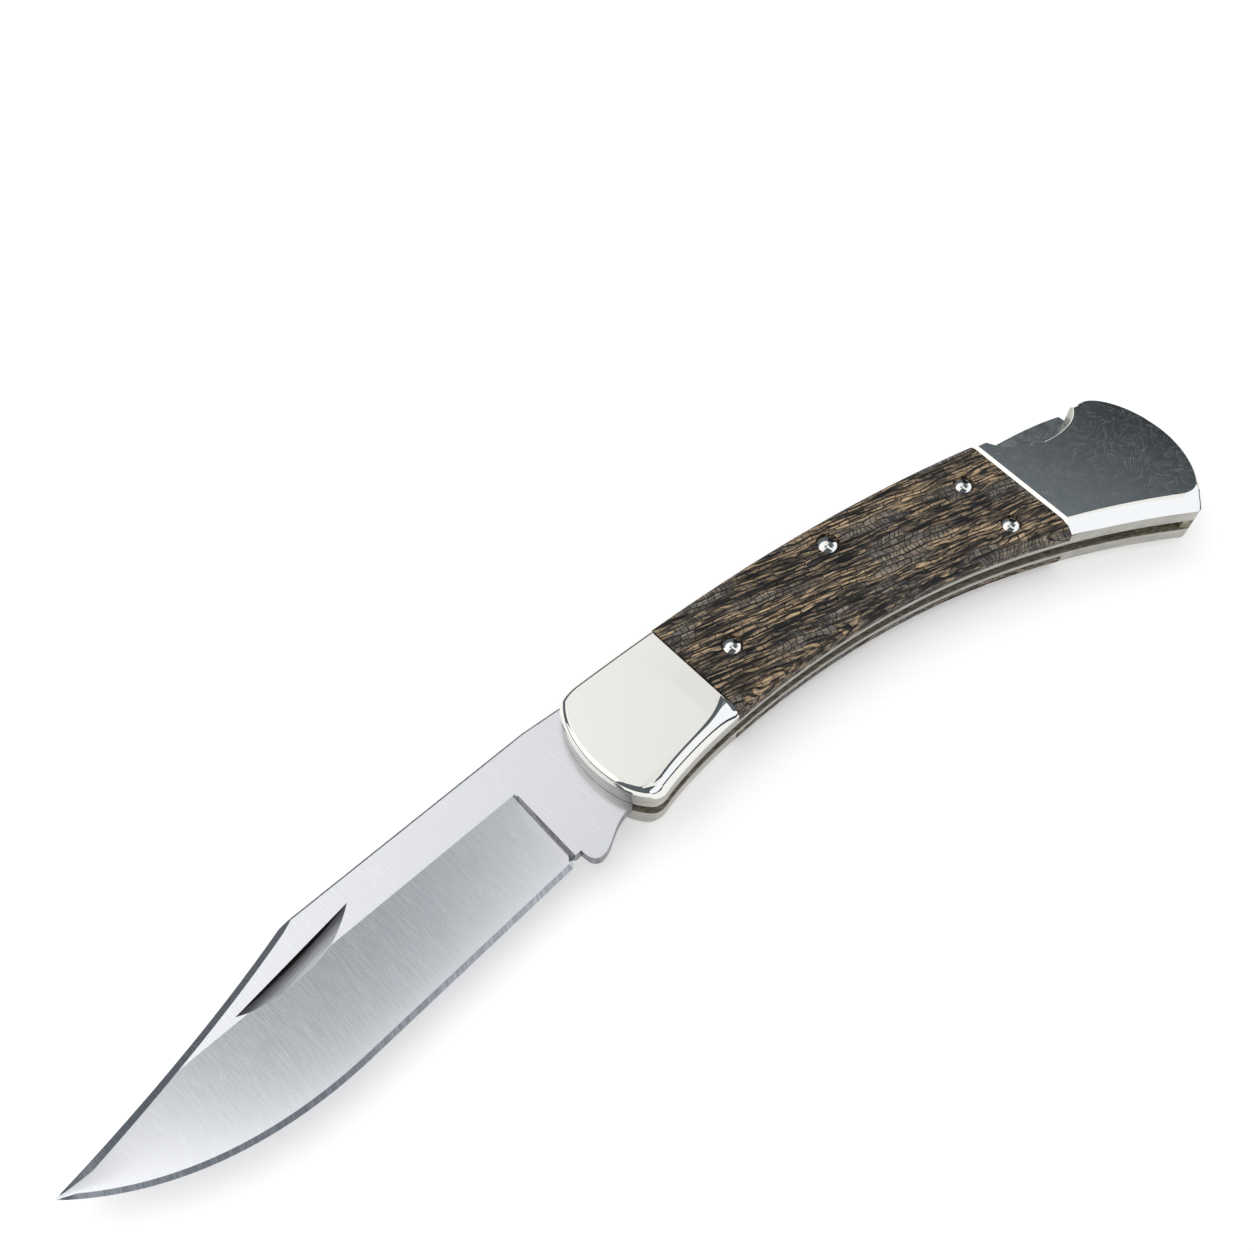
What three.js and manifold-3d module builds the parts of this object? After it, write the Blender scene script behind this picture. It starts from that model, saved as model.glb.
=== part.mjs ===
// Lock-back folding hunting knife, blade open, lying on its side.
//
// Millimetres. +X runs from the blade towards the butt, +Y towards the spine and
// +Z through the thickness. The origin is on the blade's pivot axis, in the plane
// that the knife lies on. The upper and lower halves of the handle mirror each
// other in the middle plane of the slot that the blade folds into.

import * as THREE from 'three';
import { mergeVertices } from 'three/addons/utils/BufferGeometryUtils.js';
import Module from 'manifold-3d';

const wasm = await Module();
wasm.setup();

// Thickness stack, from the slot outwards
const bladeThickness = 2.4;
const sideClearance = 0.1;
const linerThickness = 1;
const bolsterThickness = 3.9;
const scaleThickness = 3.65;

// Handle outline: distances from the pivot axis, and setbacks from the butt's end
const spineHeight = 13.05;
const spineStart = 1.5;
const buttReach = 115.65;
const buttDepth = 18.5;
const hornSetback = 6.9;
const hornDepth = 6.2;
const toeSetback = 9.35;
const toeDepth = 36.8;
const waistReach = 15;
const waistDepth = 8.9;
const guardReach = 3;
const guardDepth = 10.6;
const bolsterFront = 9;
const frontTopSetback = 4.05;
const frontTopDrop = 0.7;
const frontBottomSetback = 3.4;
const frontBottomRise = 1;

// Bevel around the handle, widest at the toe of the butt: widths, and tilts in degrees
const toeEdgeWidth = 2.8;
const buttEdgeWidth = 0.5;
const spineEdgeWidth = 0.7;
const frontEdgeWidth = 1.1;
const guardEdgeWidth = 1.7;
const waistEdgeWidth = 1.9;
const woodEdgeWidth = 5.2;
const edgeHeight = 2.3;
const edgeSteepness = 1.2;
const bevelFootTilt = 58;
const frontBevelTilt = 6;
const rearBevelTilt = 26;

// Joints between wood and bolsters
const frontJoint = 15.1;
const rearBolsterLength = 29.45;
const rearJointLean = 4;
const jointGap = 0.16;
const frontJointChamfer = 0.3;
const rearJointChamfer = 0.7;

// Thumb notch over the rear end of the lock bar
const notchMargin = 2.1;
const notchBottomSetback = 7.5;
const notchDrop = 2.6;
const hornWidth = 0.4;
const barEndSetback = 0.3;

// Blade outline: distances from the pivot axis, and lengths along the blade
const tipSetback = 13.05;
const tipHeight = 4;
const tipBlunt = 0.3;
const clipLength = 43;
const clipHeight = 14.2;
const ricassoHeight = 14.1;
const tangSlope = 12;
const bellyLength = 42.6;
const bellyDepth = 10.2;
const heelDepth = 8.6;
const heelSlope = 1.4;
const plungeWidth = 0.7;
const choilRise = 1;
const choilWidth = 1.2;
const kickReach = 16.4;
const kickDepth = 10.5;
const kickWidth = 1.9;
const kickFlat = 2.5;
const kickRunOut = 9;
const tangRunOut = -122;

// Grinds of the blade
const grindHeight = 6.6;
const hollowPower = 1.7;
const edgeBevelWidth = 1;
const edgeBevelThickness = 0.5;
const swedgeWidth = 1.15;
const swedgeThickness = 1.1;
const swedgeStart = 1.6;
const spineChamfer = 0.25;
const nickLength = 22;
const nickWidth = 3.6;
const nickDepth = 0.7;
const nickSetback = 31.1;
const nickDrop = 3.1;
const nickSlope = 7.6;

// Lock: a lug on the bar's nose drops behind the shoulder of the tang
const lugFront = 2.5;
const lugLength = 4.7;
const lugRadius = 7.8;
const lugChamfer = 0.5;
const lockGap = 0.3;
const noseDepth = 3.6;
const armFront = 20;
const armDepth = 4.9;
const padFront = 7;
const padDepth = 4.2;
const padMargin = 3;
const reliefSlope = 2;
const reliefDepth = 2.8;
const thumbRise = 1.5;
const thumbSlope = 5.8;
const thumbSlopeDepth = 6.1;
const thumbLength = 9.7;
const thumbDepth = 7.2;
const tailDepth = 4.2;
const rockerBossRadius = 3.7;

// Lock spring: a leaf that runs forward from its root over the spring pin
const leafThickness = 0.75;
const leafRootThickness = 1.05;
const leafTipReach = 11.3;
const leafGap = 0.1;
const leafSlope = -22;
const leafBow = 0.3;
const leafRootInset = 0.6;
const rootLength = 7.4;
const rootHeight = 6;
const rootDrop = 7.3;

// Butt spacer
const spacerGap = 0.3;
const tipClearance = 1;
const spacerRecess = 1.5;
const toeLand = 2.2;

// Pins and rivets
const pivotRadius = 2.5;
const rockerReach = 50.2;
const rockerDrop = 4.7;
const rockerRadius = 2;
const springPinSetback = 8.2;
const springPinDrop = 7.15;
const frontRivetSetback = 7.9;
const frontRivetHeight = 0.7;
const rearRivetSetback = 9;
const rearRivetDepth = 15.5;
const rivetRadius = 1.8;
const spacerPinOffset = 0.6;
const spacerPinRise = 8;
const hiddenPinRadius = 1.25;
const bolsterRivetSetback = 6.5;
const bolsterRivetDepth = 4.2;
const bolsterRivetRadius = 1;
const pinFit = 0.05;
const blindDepth = 2.8;
const blindGap = 0.1;
const domeHeight = 0.4;

// Fineness
const roundSegments = 24;
const overrun = 5;
const sliver = 0.01;

// Levels worked out from the stack
const slotWidth = bladeThickness + 2 * sideClearance;
const middle = bolsterThickness + linerThickness + slotWidth / 2;
const thickness = 2 * middle;
const slotTop = middle + slotWidth / 2;
const linerTop = slotTop + linerThickness;
const scaleTop = linerTop + scaleThickness;
const bladeBottom = middle - bladeThickness / 2;
const bladeTop = middle + bladeThickness / 2;
const blindEnd = linerTop + blindDepth;
const blindTop = blindEnd + blindGap;

const { lerp, smoothstep, clamp, mapLinear, degToRad } = THREE.MathUtils;
const vec = (x, y) => new THREE.Vector2(x, y);

// Corners of the handle's outline
const spineFront = vec(-spineStart, spineHeight);
const frontTop = vec(-bolsterFront + frontTopSetback, spineHeight - frontTopDrop);
const frontBottom = vec(-bolsterFront + frontBottomSetback, -guardDepth + frontBottomRise);
const guard = vec(-guardReach, -guardDepth);
const waist = vec(waistReach, -waistDepth);
const toe = vec(buttReach - toeSetback, -toeDepth);
const butt = vec(buttReach, -buttDepth);
const horn = vec(buttReach - hornSetback, -hornDepth);

// A curve between two points. Each pull is a pair of shares of the way, along X and along Y
function curve(from, to, ...pulls) {
  const points = pulls.map(([x, y]) => vec(lerp(from.x, to.x, x), lerp(from.y, to.y, y)));
  return points.length === 1
    ? new THREE.QuadraticBezierCurve(from, points[0], to)
    : new THREE.CubicBezierCurve(from, points[0], points[1], to);
}

// Curves of the handle's outline, anticlockwise from the front of the waist
const bellyCurve = curve(waist, toe, [0.352, 0], [0.689, 0.288]);
const lowerButtCurve = curve(toe, butt, [0.557, 0.132], [1.045, 0.599]);
const upperButtCurve = curve(butt, horn, [-0.032, 0.426], [0.396, 1.05]);
const spineCurve = curve(horn, spineFront, [0.327, 0.639], [0.605, 0.918]);
const frontTopCurve = curve(spineFront, frontTop, [0.7, 0]);
const guardCurve = curve(frontBottom, guard, [0.27, 1.1]);
const waistCurve = curve(guard, waist, [0.2, 0.55], [0.583, 1]);

// The bolster's front, pulled so that its foremost point lies at bolsterFront
const frontPull = (-bolsterFront - (frontTop.x + frontBottom.x) / 8) / 0.75;
const frontCurve = new THREE.CubicBezierCurve(
  frontTop,
  vec(frontPull, lerp(frontTop.y, frontBottom.y, 0.237)),
  vec(frontPull, lerp(frontTop.y, frontBottom.y, 0.793)),
  frontBottom,
);

// Corners and curves of the blade's outline
const tip = vec(-(buttReach - tipSetback), tipHeight);
const clipStart = vec(tip.x + clipLength, clipHeight);
const bellyStart = vec(tip.x + bellyLength, -bellyDepth);
const choilFront = -(kickReach + kickWidth + choilWidth);
const heel = vec(choilFront - heelSlope, -heelDepth);
const choilDepth = heelDepth - choilRise;
const clipCurve = curve(clipStart, tip, [0.474, 0.686]);
const cuttingCurve = curve(bellyStart, tip, [0.423, -0.056], [0.751, 0.331]);

// Stretches of the handle's outline: curve, steps, and bevel width at start, pull and end
const bellyEdgeWidth = (waistEdgeWidth + toeEdgeWidth) / 2;
const handleStretches = (bellyPull) => [
  [bellyCurve, 22, waistEdgeWidth, bellyPull, toeEdgeWidth],
  [lowerButtCurve, 9, toeEdgeWidth, buttEdgeWidth, buttEdgeWidth],
  [upperButtCurve, 8, buttEdgeWidth, buttEdgeWidth, spineEdgeWidth],
  [spineCurve, 26, spineEdgeWidth, spineEdgeWidth, spineEdgeWidth],
  [frontTopCurve, 4, spineEdgeWidth, frontEdgeWidth, frontEdgeWidth],
  [frontCurve, 12, frontEdgeWidth, frontEdgeWidth, frontEdgeWidth],
  [guardCurve, 4, frontEdgeWidth, guardEdgeWidth, guardEdgeWidth],
  [waistCurve, 6, guardEdgeWidth, waistEdgeWidth, waistEdgeWidth],
];

// Joins stretches of curves into one closed outline without doubled corners
function outline(stretches) {
  return stretches.flatMap(([part, steps]) => part.getPoints(steps).slice(0, steps));
}

const handleOutline = () => outline(handleStretches(bellyEdgeWidth));

// Width of the bevel at each point of the handle's outline
const edgeWidths = (bellyPull) => handleStretches(bellyPull).flatMap(
  ([, steps, start, pull, end]) => Array.from({ length: steps }, (_, i) => {
    const share = i / steps;
    return lerp(lerp(start, pull, share), lerp(pull, end, share), share);
  }),
);

// Height of a curve at a place along X, for a curve that runs one way in X
function heightAt(part, x) {
  const rising = part.getPoint(1).x > part.getPoint(0).x;
  let low = 0;
  let high = 1;
  for (let i = 0; i < 40; i++) {
    const centre = (low + high) / 2;
    if (part.getPoint(centre).x < x === rising) low = centre;
    else high = centre;
  }
  return part.getPoint(low).y;
}

const spineAt = (x) => heightAt(spineCurve, x);

// Places along the handle
const rearJoint = buttReach - rearBolsterLength;
const notchStart = rearJoint + notchMargin;
const notchBottom = vec(horn.x - notchBottomSetback, horn.y - notchDrop);
const barEnd = horn.x - barEndSetback;
const rootTop = horn.y - rootDrop;
const pivot = vec(0, 0);
const rocker = vec(rockerReach, spineAt(rockerReach) - rockerDrop);
const springPinReach = rearJoint - springPinSetback;
const springPin = vec(springPinReach, spineAt(springPinReach) - springPinDrop);
const frontRivet = vec(frontJoint + frontRivetSetback, frontRivetHeight);
const rearRivet = vec(rearJoint - rearRivetSetback, -rearRivetDepth);
const bolsterRivet = vec(frontJoint - bolsterRivetSetback, -bolsterRivetDepth);
const rootPin = vec(barEnd - rootLength / 2, rootTop - rootHeight / 2);
const spacerPin = vec(toe.x + spacerPinOffset, toe.y + spacerPinRise);

// A closed geometry as a solid that can be joined and cut
function solid(geometry) {
  const bare = new THREE.BufferGeometry();
  bare.setAttribute('position', geometry.getAttribute('position'));
  bare.setIndex(geometry.getIndex());
  const merged = mergeVertices(bare, 1e-5);
  const corners = merged.getIndex().array;
  const kept = [];
  for (let i = 0; i < corners.length; i += 3) {
    const [a, b, c] = corners.slice(i, i + 3);
    if (a !== b && b !== c && c !== a) kept.push(a, b, c);
  }
  const vertProperties = Float32Array.from(merged.getAttribute('position').array);
  const mesh = new wasm.Mesh({ numProp: 3, vertProperties, triVerts: Uint32Array.from(kept) });
  return new wasm.Manifold(mesh);
}

// A solid as a geometry again
function surface(body) {
  const mesh = body.getMesh();
  const geometry = new THREE.BufferGeometry();
  const positions = Float32Array.from(mesh.vertProperties);
  geometry.setAttribute('position', new THREE.BufferAttribute(positions, 3));
  geometry.setIndex(new THREE.BufferAttribute(Uint32Array.from(mesh.triVerts), 1));
  geometry.computeVertexNormals();
  return geometry;
}

// A flat outline as a solid between two levels
function slab(points, bottom, top) {
  const shape = new THREE.Shape(points);
  const options = { depth: top - bottom, bevelEnabled: false };
  const geometry = new THREE.ExtrudeGeometry(shape, options);
  return solid(geometry.translate(0, 0, bottom));
}

function block(left, right, front, back, bottom, top) {
  const geometry = new THREE.BoxGeometry(right - left, back - front, top - bottom);
  geometry.translate((left + right) / 2, (front + back) / 2, (bottom + top) / 2);
  return geometry;
}

// A round hole's cutter
function drill(place, radius, bottom, top) {
  const geometry = new THREE.CylinderGeometry(radius, radius, top - bottom, roundSegments);
  geometry.rotateX(Math.PI / 2).translate(place.x, place.y, (bottom + top) / 2);
  return solid(geometry);
}

function drillAll(body, holes) {
  return holes.reduce((rest, hole) => rest.subtract(drill(...hole)), body);
}

// Skin over a row of closed rings of as many points each, with both ends capped
function loft(rings, flatten) {
  const count = rings[0].length;
  const positions = rings.flat().flatMap((point) => point.toArray());
  const index = [];
  for (let level = 0; level + 1 < rings.length; level++) {
    for (let i = 0; i < count; i++) {
      const a = level * count + i;
      const b = level * count + ((i + 1) % count);
      index.push(a, b, b + count, a, b + count, a + count);
    }
  }
  const cap = (ring) => THREE.ShapeUtils.triangulateShape(ring.map(flatten), []);
  const last = (rings.length - 1) * count;
  cap(rings[0]).forEach(([a, b, c]) => index.push(a, c, b));
  cap(rings.at(-1)).forEach(([a, b, c]) => index.push(last + a, last + b, last + c));
  const geometry = new THREE.BufferGeometry();
  geometry.setAttribute('position', new THREE.Float32BufferAttribute(positions, 3));
  geometry.setIndex(index);
  return geometry;
}

// An anticlockwise outline moved inwards, each point by its own distance along the mitre
function inset(points, distances) {
  return points.map((point, i) => {
    const before = points[(i + points.length - 1) % points.length];
    const after = points[(i + 1) % points.length];
    const arriving = point.clone().sub(before).normalize();
    const leaving = after.clone().sub(point).normalize();
    const along = arriving.add(leaving).normalize();
    const inwards = vec(-along.y, along.x);
    return point.clone().addScaledVector(inwards, distances[i] / along.dot(leaving));
  });
}

// Handle-shaped plate from the liner outwards. Its bevel bulges between two tilts
function handlePlate(top, footTilt, topTilt, bellyPull, steps) {
  const points = handleOutline();
  const widths = edgeWidths(bellyPull);
  const foot = degToRad(footTilt);
  const crest = degToRad(topTilt);
  const heights = widths.map((width) => Math.min(edgeHeight, width * edgeSteepness));
  const ring = (share, levelAt) => inset(points, widths.map((width) => width * share))
    .map(({ x, y }, i) => new THREE.Vector3(x, y, levelAt(i)));
  const rings = [ring(0, () => linerTop)];
  for (let i = 0; i <= steps; i++) {
    const tilt = lerp(foot, crest, i / steps);
    const share = (Math.sin(foot) - Math.sin(tilt)) / (Math.sin(foot) - Math.sin(crest));
    const rise = (Math.cos(tilt) - Math.cos(foot)) / (Math.cos(crest) - Math.cos(foot));
    rings.push(ring(share, (place) => top - heights[place] * (1 - rise)));
  }
  return solid(loft(rings, ({ x, y }) => vec(x, y)));
}

// Scoop in both sides of the handle that lets the thumb reach the lock bar
function thumbNotch() {
  const start = vec(notchStart, spineAt(notchStart) + spacerGap);
  const hornTip = horn.x - hornWidth;
  const end = vec(hornTip, spineAt(hornTip) + spacerGap);
  const front = curve(start, notchBottom, [0.114, 0.59], [0.508, 0.99]);
  const back = curve(notchBottom, end, [0.493, 0], [0.775, 0.26]);
  const roof = [end, vec(hornTip, spineHeight), vec(notchStart, spineHeight)];
  const edge = outline([[front, 8], [back, 6]]);
  return slab([...edge, ...roof], -overrun, thickness + overrun);
}

// Half plane beyond a joint line that leans by an angle, as a cutter
function jointCutter(place, lean, towardsButt) {
  const far = 2 * buttReach;
  const geometry = towardsButt
    ? block(0, far, -far, far, -overrun, thickness + overrun)
    : block(-far, 0, -far, far, -overrun, thickness + overrun);
  geometry.rotateZ(degToRad(-lean)).translate(place, 0, 0);
  return solid(geometry);
}

// Square bar whose corner takes the sharp edge off a bolster along its joint
function jointChamfer(place, lean, size) {
  const side = size * Math.SQRT2;
  const geometry = new THREE.BoxGeometry(side, 4 * buttReach, side).rotateY(Math.PI / 4);
  geometry.rotateZ(degToRad(-lean)).translate(place, 0, thickness);
  return solid(geometry);
}

function frontBolster() {
  const body = handlePlate(thickness, bevelFootTilt, frontBevelTilt, bellyEdgeWidth, 5)
    .subtract(jointCutter(frontJoint, 0, true))
    .subtract(jointChamfer(frontJoint, 0, frontJointChamfer));
  return drillAll(body, [
    [pivot, pivotRadius + pinFit, 0, blindTop],
    [bolsterRivet, bolsterRivetRadius + pinFit, 0, blindTop],
  ]);
}

function rearBolster() {
  const body = handlePlate(thickness, bevelFootTilt, rearBevelTilt, bellyEdgeWidth, 4)
    .subtract(jointCutter(rearJoint, rearJointLean, false))
    .subtract(jointChamfer(rearJoint, rearJointLean, rearJointChamfer))
    .subtract(thumbNotch());
  return drillAll(body, [
    [rootPin, hiddenPinRadius + pinFit, 0, blindTop],
    [spacerPin, hiddenPinRadius + pinFit, 0, blindTop],
  ]);
}

function scale() {
  const body = handlePlate(scaleTop, 90, 0, woodEdgeWidth, 6)
    .subtract(jointCutter(frontJoint + jointGap, 0, false))
    .subtract(jointCutter(rearJoint - jointGap, rearJointLean, true));
  return drillAll(body, [
    [rocker, rockerRadius + pinFit, 0, thickness + overrun],
    [springPin, rivetRadius + pinFit, 0, thickness + overrun],
    [frontRivet, rivetRadius + pinFit, 0, thickness + overrun],
    [rearRivet, rivetRadius + pinFit, 0, thickness + overrun],
  ]);
}

function liner() {
  const body = slab(handleOutline(), slotTop, linerTop).subtract(thumbNotch());
  return drillAll(body, [
    [pivot, pivotRadius + pinFit, 0, thickness],
    [bolsterRivet, bolsterRivetRadius + pinFit, 0, thickness],
    [rocker, rockerRadius + pinFit, 0, thickness],
    [springPin, rivetRadius + pinFit, 0, thickness],
    [frontRivet, rivetRadius + pinFit, 0, thickness],
    [rearRivet, rivetRadius + pinFit, 0, thickness],
    [rootPin, hiddenPinRadius + pinFit, 0, thickness],
    [spacerPin, hiddenPinRadius + pinFit, 0, thickness],
  ]);
}

// Heights of the blade's back and cutting edge
const backAt = (x) => (x < clipStart.x
  ? heightAt(clipCurve, x)
  : mapLinear(x, 0, clipStart.x, ricassoHeight, clipHeight));

const cuttingAt = (x) => (x < bellyStart.x
  ? heightAt(cuttingCurve, x)
  : mapLinear(x, bellyStart.x, heel.x, bellyStart.y, heel.y));

// One cross-section of the blade, up one side and down the other
function bladeSection(x, ground, edge) {
  const back = backAt(x);
  const height = back - edge;
  const half = bladeThickness / 2;
  const clipped = smoothstep(clipStart.x - x, -swedgeStart, 0);
  const backWidth = lerp(spineChamfer, swedgeWidth, clipped);
  const backHalf = lerp(half - spineChamfer / 2, swedgeThickness / 2, clipped);
  const shoulder = back - Math.min(backWidth, height / 4);
  const bevel = edge + Math.min(edgeBevelWidth, height / 3);
  const line = Math.min(grindHeight, shoulder - height / 50);
  const hollow = (y) => {
    const reach = clamp((y - bevel) / (grindHeight - bevel), 0, 1);
    return lerp(edgeBevelThickness / 2, half, reach ** hollowPower);
  };
  const levels = [0, 0.3, 0.55, 0.78, 1].map((share) => lerp(bevel, line, share));
  const hollowSide = [
    ...levels.map((y) => [y, hollow(y)]),
    [shoulder, hollow(shoulder)],
    [back, Math.min(backHalf, hollow(shoulder) * 0.7)],
  ];
  const flatSide = [
    [edge, half],
    ...levels.slice(1).map((y) => [y, half]),
    [shoulder, half],
    [back, backHalf],
  ];
  const side = ground ? hollowSide : flatSide;
  const point = (y, z) => new THREE.Vector3(x, y, middle + z);
  const upper = side.map(([y, z]) => point(y, z));
  const lower = side.map(([y, z]) => point(y, -z)).reverse();
  return [point(edge, 0), ...upper, ...lower];
}

// Ground part of the blade, from the plunge line to the tip
function groundBlade() {
  const straightSteps = 8;
  const clipSteps = 16;
  const swedgeFront = clipStart.x + swedgeStart;
  const places = [];
  for (let i = 1; i <= straightSteps; i++) {
    places.push(lerp(heel.x, swedgeFront, i / straightSteps));
  }
  places.push((swedgeFront + clipStart.x) / 2);
  for (let i = 0; i < clipSteps; i++) {
    places.push(lerp(tip.x, clipStart.x, (1 - i / clipSteps) ** 1.35));
  }
  const rings = [
    bladeSection(choilFront, false, -choilDepth),
    bladeSection(choilFront - plungeWidth, true, -choilDepth),
    bladeSection(heel.x, true, heel.y),
    ...places.map((x) => bladeSection(x, true, cuttingAt(x))),
    bladeSection(tip.x + tipBlunt, true, cuttingAt(tip.x + tipBlunt)),
  ];
  return solid(loft(rings, ({ y, z }) => vec(-y, z)));
}

// Flat part behind the plunge line: ricasso, choil, kick and tang
function tang() {
  const radius = lugRadius - lockGap;
  const front = choilFront - sliver;
  const shoulder = lugFront - lockGap;
  const runOut = vec(radius, 0).rotateAround(pivot, degToRad(tangRunOut));
  const kickEnd = vec(-kickReach + kickRunOut, -radius);
  const shape = new THREE.Shape();
  shape.moveTo(front, backAt(front));
  shape.lineTo(front, -choilDepth);
  shape.lineTo(-kickReach - kickWidth, -choilDepth);
  shape.quadraticCurveTo(-kickReach - kickWidth, -kickDepth, -kickReach, -kickDepth);
  const pull = vec(-kickReach + kickFlat, -kickDepth);
  const landing = vec(-kickReach + kickRunOut / 2, -radius);
  shape.bezierCurveTo(pull.x, pull.y, landing.x, landing.y, kickEnd.x, kickEnd.y);
  shape.lineTo(runOut.x, runOut.y);
  shape.absarc(0, 0, radius, degToRad(tangRunOut), Math.acos(shoulder / radius), false);
  shape.lineTo(shoulder, spineAt(shoulder));
  shape.lineTo(-tangSlope, backAt(-tangSlope));
  return slab(shape.getPoints(12), bladeBottom, bladeTop);
}

// Crescent thumbnail groove, cut by a thin leaning wheel, deepest on its straight side
function nailNick() {
  const lean = Math.atan2(nickDepth, nickWidth);
  const slope = degToRad(nickSlope);
  const wheel = (nickLength / 2) ** 2 / (2 * nickDepth);
  const reach = Math.asin(nickLength / wheel);
  const shape = new THREE.Shape();
  shape.absarc(0, 0, wheel, -Math.PI / 2 - reach, -Math.PI / 2 + reach, false);
  const options = { depth: nickWidth * 2, bevelEnabled: false, curveSegments: 24 };
  const geometry = new THREE.ExtrudeGeometry(shape, options);
  geometry.translate(0, wheel - nickDepth, 0);
  geometry.rotateX(Math.PI / 2 - lean).rotateZ(slope);
  const front = tip.x + nickSetback;
  const place = vec(front, backAt(front) - nickDrop);
  place.add(vec(Math.cos(slope), Math.sin(slope)).multiplyScalar(nickLength / 2));
  return solid(geometry.translate(place.x, place.y, bladeTop));
}

function blade() {
  return groundBlade()
    .add(tang())
    .subtract(nailNick())
    .subtract(drill(pivot, pivotRadius + pinFit, 0, thickness));
}

// Underside of the lock bar, from the lug to the tail, by its depth below the spine
function barUnderside(lugRear) {
  const padEnd = rocker.x + leafTipReach + padMargin;
  const thumbStart = notchStart + thumbSlope;
  return [
    [lugRear - sliver, noseDepth],
    [armFront, armDepth],
    [rocker.x - rockerBossRadius, armDepth],
    [rocker.x + padFront, padDepth],
    [padEnd, padDepth],
    [padEnd + reliefSlope, reliefDepth],
    [notchStart, reliefDepth],
    [lerp(notchStart, thumbStart, 0.5), lerp(reliefDepth, thumbSlopeDepth, 0.65)],
    [thumbStart, thumbSlopeDepth],
    [barEnd - thumbLength, thumbDepth],
    [barEnd, tailDepth],
  ].map(([x, depth]) => vec(x, spineAt(x) - depth));
}

// Lock bar: flush with the spine, but for the hump that the thumb presses
function lockbar() {
  const lugRear = lugFront + lugLength;
  const lugBottom = Math.sqrt(lugRadius ** 2 - lugFront ** 2);
  const region = [
    vec(lugFront, spineHeight + overrun),
    vec(lugFront, lugBottom + lugChamfer),
    vec(lugFront + lugChamfer, lugBottom),
    vec(lugRear - lugChamfer, lugBottom),
    vec(lugRear, lugBottom + lugChamfer),
    ...barUnderside(lugRear),
    vec(barEnd, spineHeight + overrun),
  ];
  const humpRear = lerp(barEnd, notchStart, 1 / 3);
  const humpFront = lerp(barEnd, notchStart, 2 / 3);
  const crest = new THREE.CubicBezierCurve(
    vec(barEnd, spineAt(barEnd) + thumbRise),
    vec(humpRear, spineAt(humpRear) + 1.3 * thumbRise),
    vec(humpFront, spineAt(humpFront) + 0.55 * thumbRise),
    vec(notchStart, spineAt(notchStart) - sliver),
  );
  const hump = [vec(barEnd, spineAt(barEnd) - 2 * sliver), ...crest.getPoints(10)];
  return slab(handleOutline(), bladeBottom, bladeTop)
    .intersect(slab(region, bladeBottom, bladeTop))
    .add(slab(hump, bladeBottom, bladeTop))
    .add(drill(rocker, rockerBossRadius, bladeBottom, bladeTop))
    .subtract(drill(rocker, rockerRadius + pinFit, 0, thickness));
}

// Leaf spring with its riveted root
function lockSpring() {
  const slope = degToRad(leafSlope);
  const seat = rivetRadius + leafGap + leafRootThickness / 2;
  const normal = vec(-Math.sin(slope), Math.cos(slope));
  const overPin = springPin.clone().addScaledVector(normal, seat);
  const tipReach = rocker.x + leafTipReach;
  const tipDepth = padDepth + lockGap + leafThickness / 2;
  const leafTip = vec(tipReach, spineAt(tipReach) - tipDepth);
  const rootFront = barEnd - rootLength;
  const rootEnd = vec(rootFront + leafRootInset, rootTop - leafRootThickness / 2);
  const bowed = (from, to, share, bow) => from.clone().lerp(to, share).add(vec(0, bow));
  const route = new THREE.SplineCurve([
    leafTip,
    bowed(leafTip, overPin, 0.5, leafBow),
    overPin,
    bowed(overPin, rootEnd, 0.42, -leafBow),
    bowed(overPin, rootEnd, 0.78, -2 * leafBow),
    rootEnd,
  ]);
  const steps = 22;
  const side = (direction) => route.getPoints(steps).map((point, i) => {
    const tangent = route.getTangent(i / steps);
    const width = lerp(leafThickness, leafRootThickness, i / steps);
    return point.addScaledVector(vec(-tangent.y, tangent.x), (direction * width) / 2);
  });
  const leaf = [...side(-1), ...side(1).reverse()];
  const root = block(rootFront, barEnd, rootTop - rootHeight, rootTop, bladeBottom, bladeTop);
  return slab(leaf, bladeBottom, bladeTop)
    .add(solid(root))
    .subtract(drill(rootPin, hiddenPinRadius + pinFit, 0, thickness));
}

// Spacer that fills the slot at the butt, behind the swing of the blade's tip
function buttSpacer() {
  const swing = tip.length() + tipClearance;
  const shelf = rootTop - rootHeight - spacerGap;
  const prong = barEnd + 2 * spacerGap;
  const shelfAngle = Math.asin(shelf / swing);
  const toeAngle = Math.asin((toe.y - overrun) / swing);
  const front = new THREE.EllipseCurve(0, 0, swing, swing, toeAngle, shelfAngle, false);
  const region = [
    ...front.getPoints(8),
    vec(barEnd + spacerGap, shelf),
    vec(barEnd + spacerGap, rootTop),
    vec(prong, rootTop),
    vec(prong, spineHeight),
    vec(buttReach + overrun, spineHeight),
    vec(buttReach + overrun, toe.y - overrun),
  ];
  const arrival = bellyCurve.getTangent(1);
  const recess = block(-2 * rearBolsterLength, -toeLand, -overrun, spacerRecess, 0, thickness);
  recess.rotateZ(Math.atan2(arrival.y, arrival.x)).translate(toe.x, toe.y, 0);
  return slab(handleOutline(), slotTop - slotWidth, slotTop)
    .intersect(slab(region, slotTop - slotWidth, slotTop))
    .subtract(solid(recess))
    .subtract(drill(spacerPin, hiddenPinRadius + pinFit, 0, thickness));
}

// Pins, turned about their own axes

// Half profile of a domed head, from its rim to its crown
function dome(radius, crown) {
  return [0, 1, 2, 3].map((i) => {
    const angle = (i / 3) * (Math.PI / 2);
    return vec(radius * Math.cos(angle), crown - domeHeight * (1 - Math.sin(angle)));
  });
}

function turned(profile, place) {
  const geometry = new THREE.LatheGeometry(profile, roundSegments);
  return surface(solid(geometry.rotateX(Math.PI / 2).translate(place.x, place.y, 0)));
}

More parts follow.
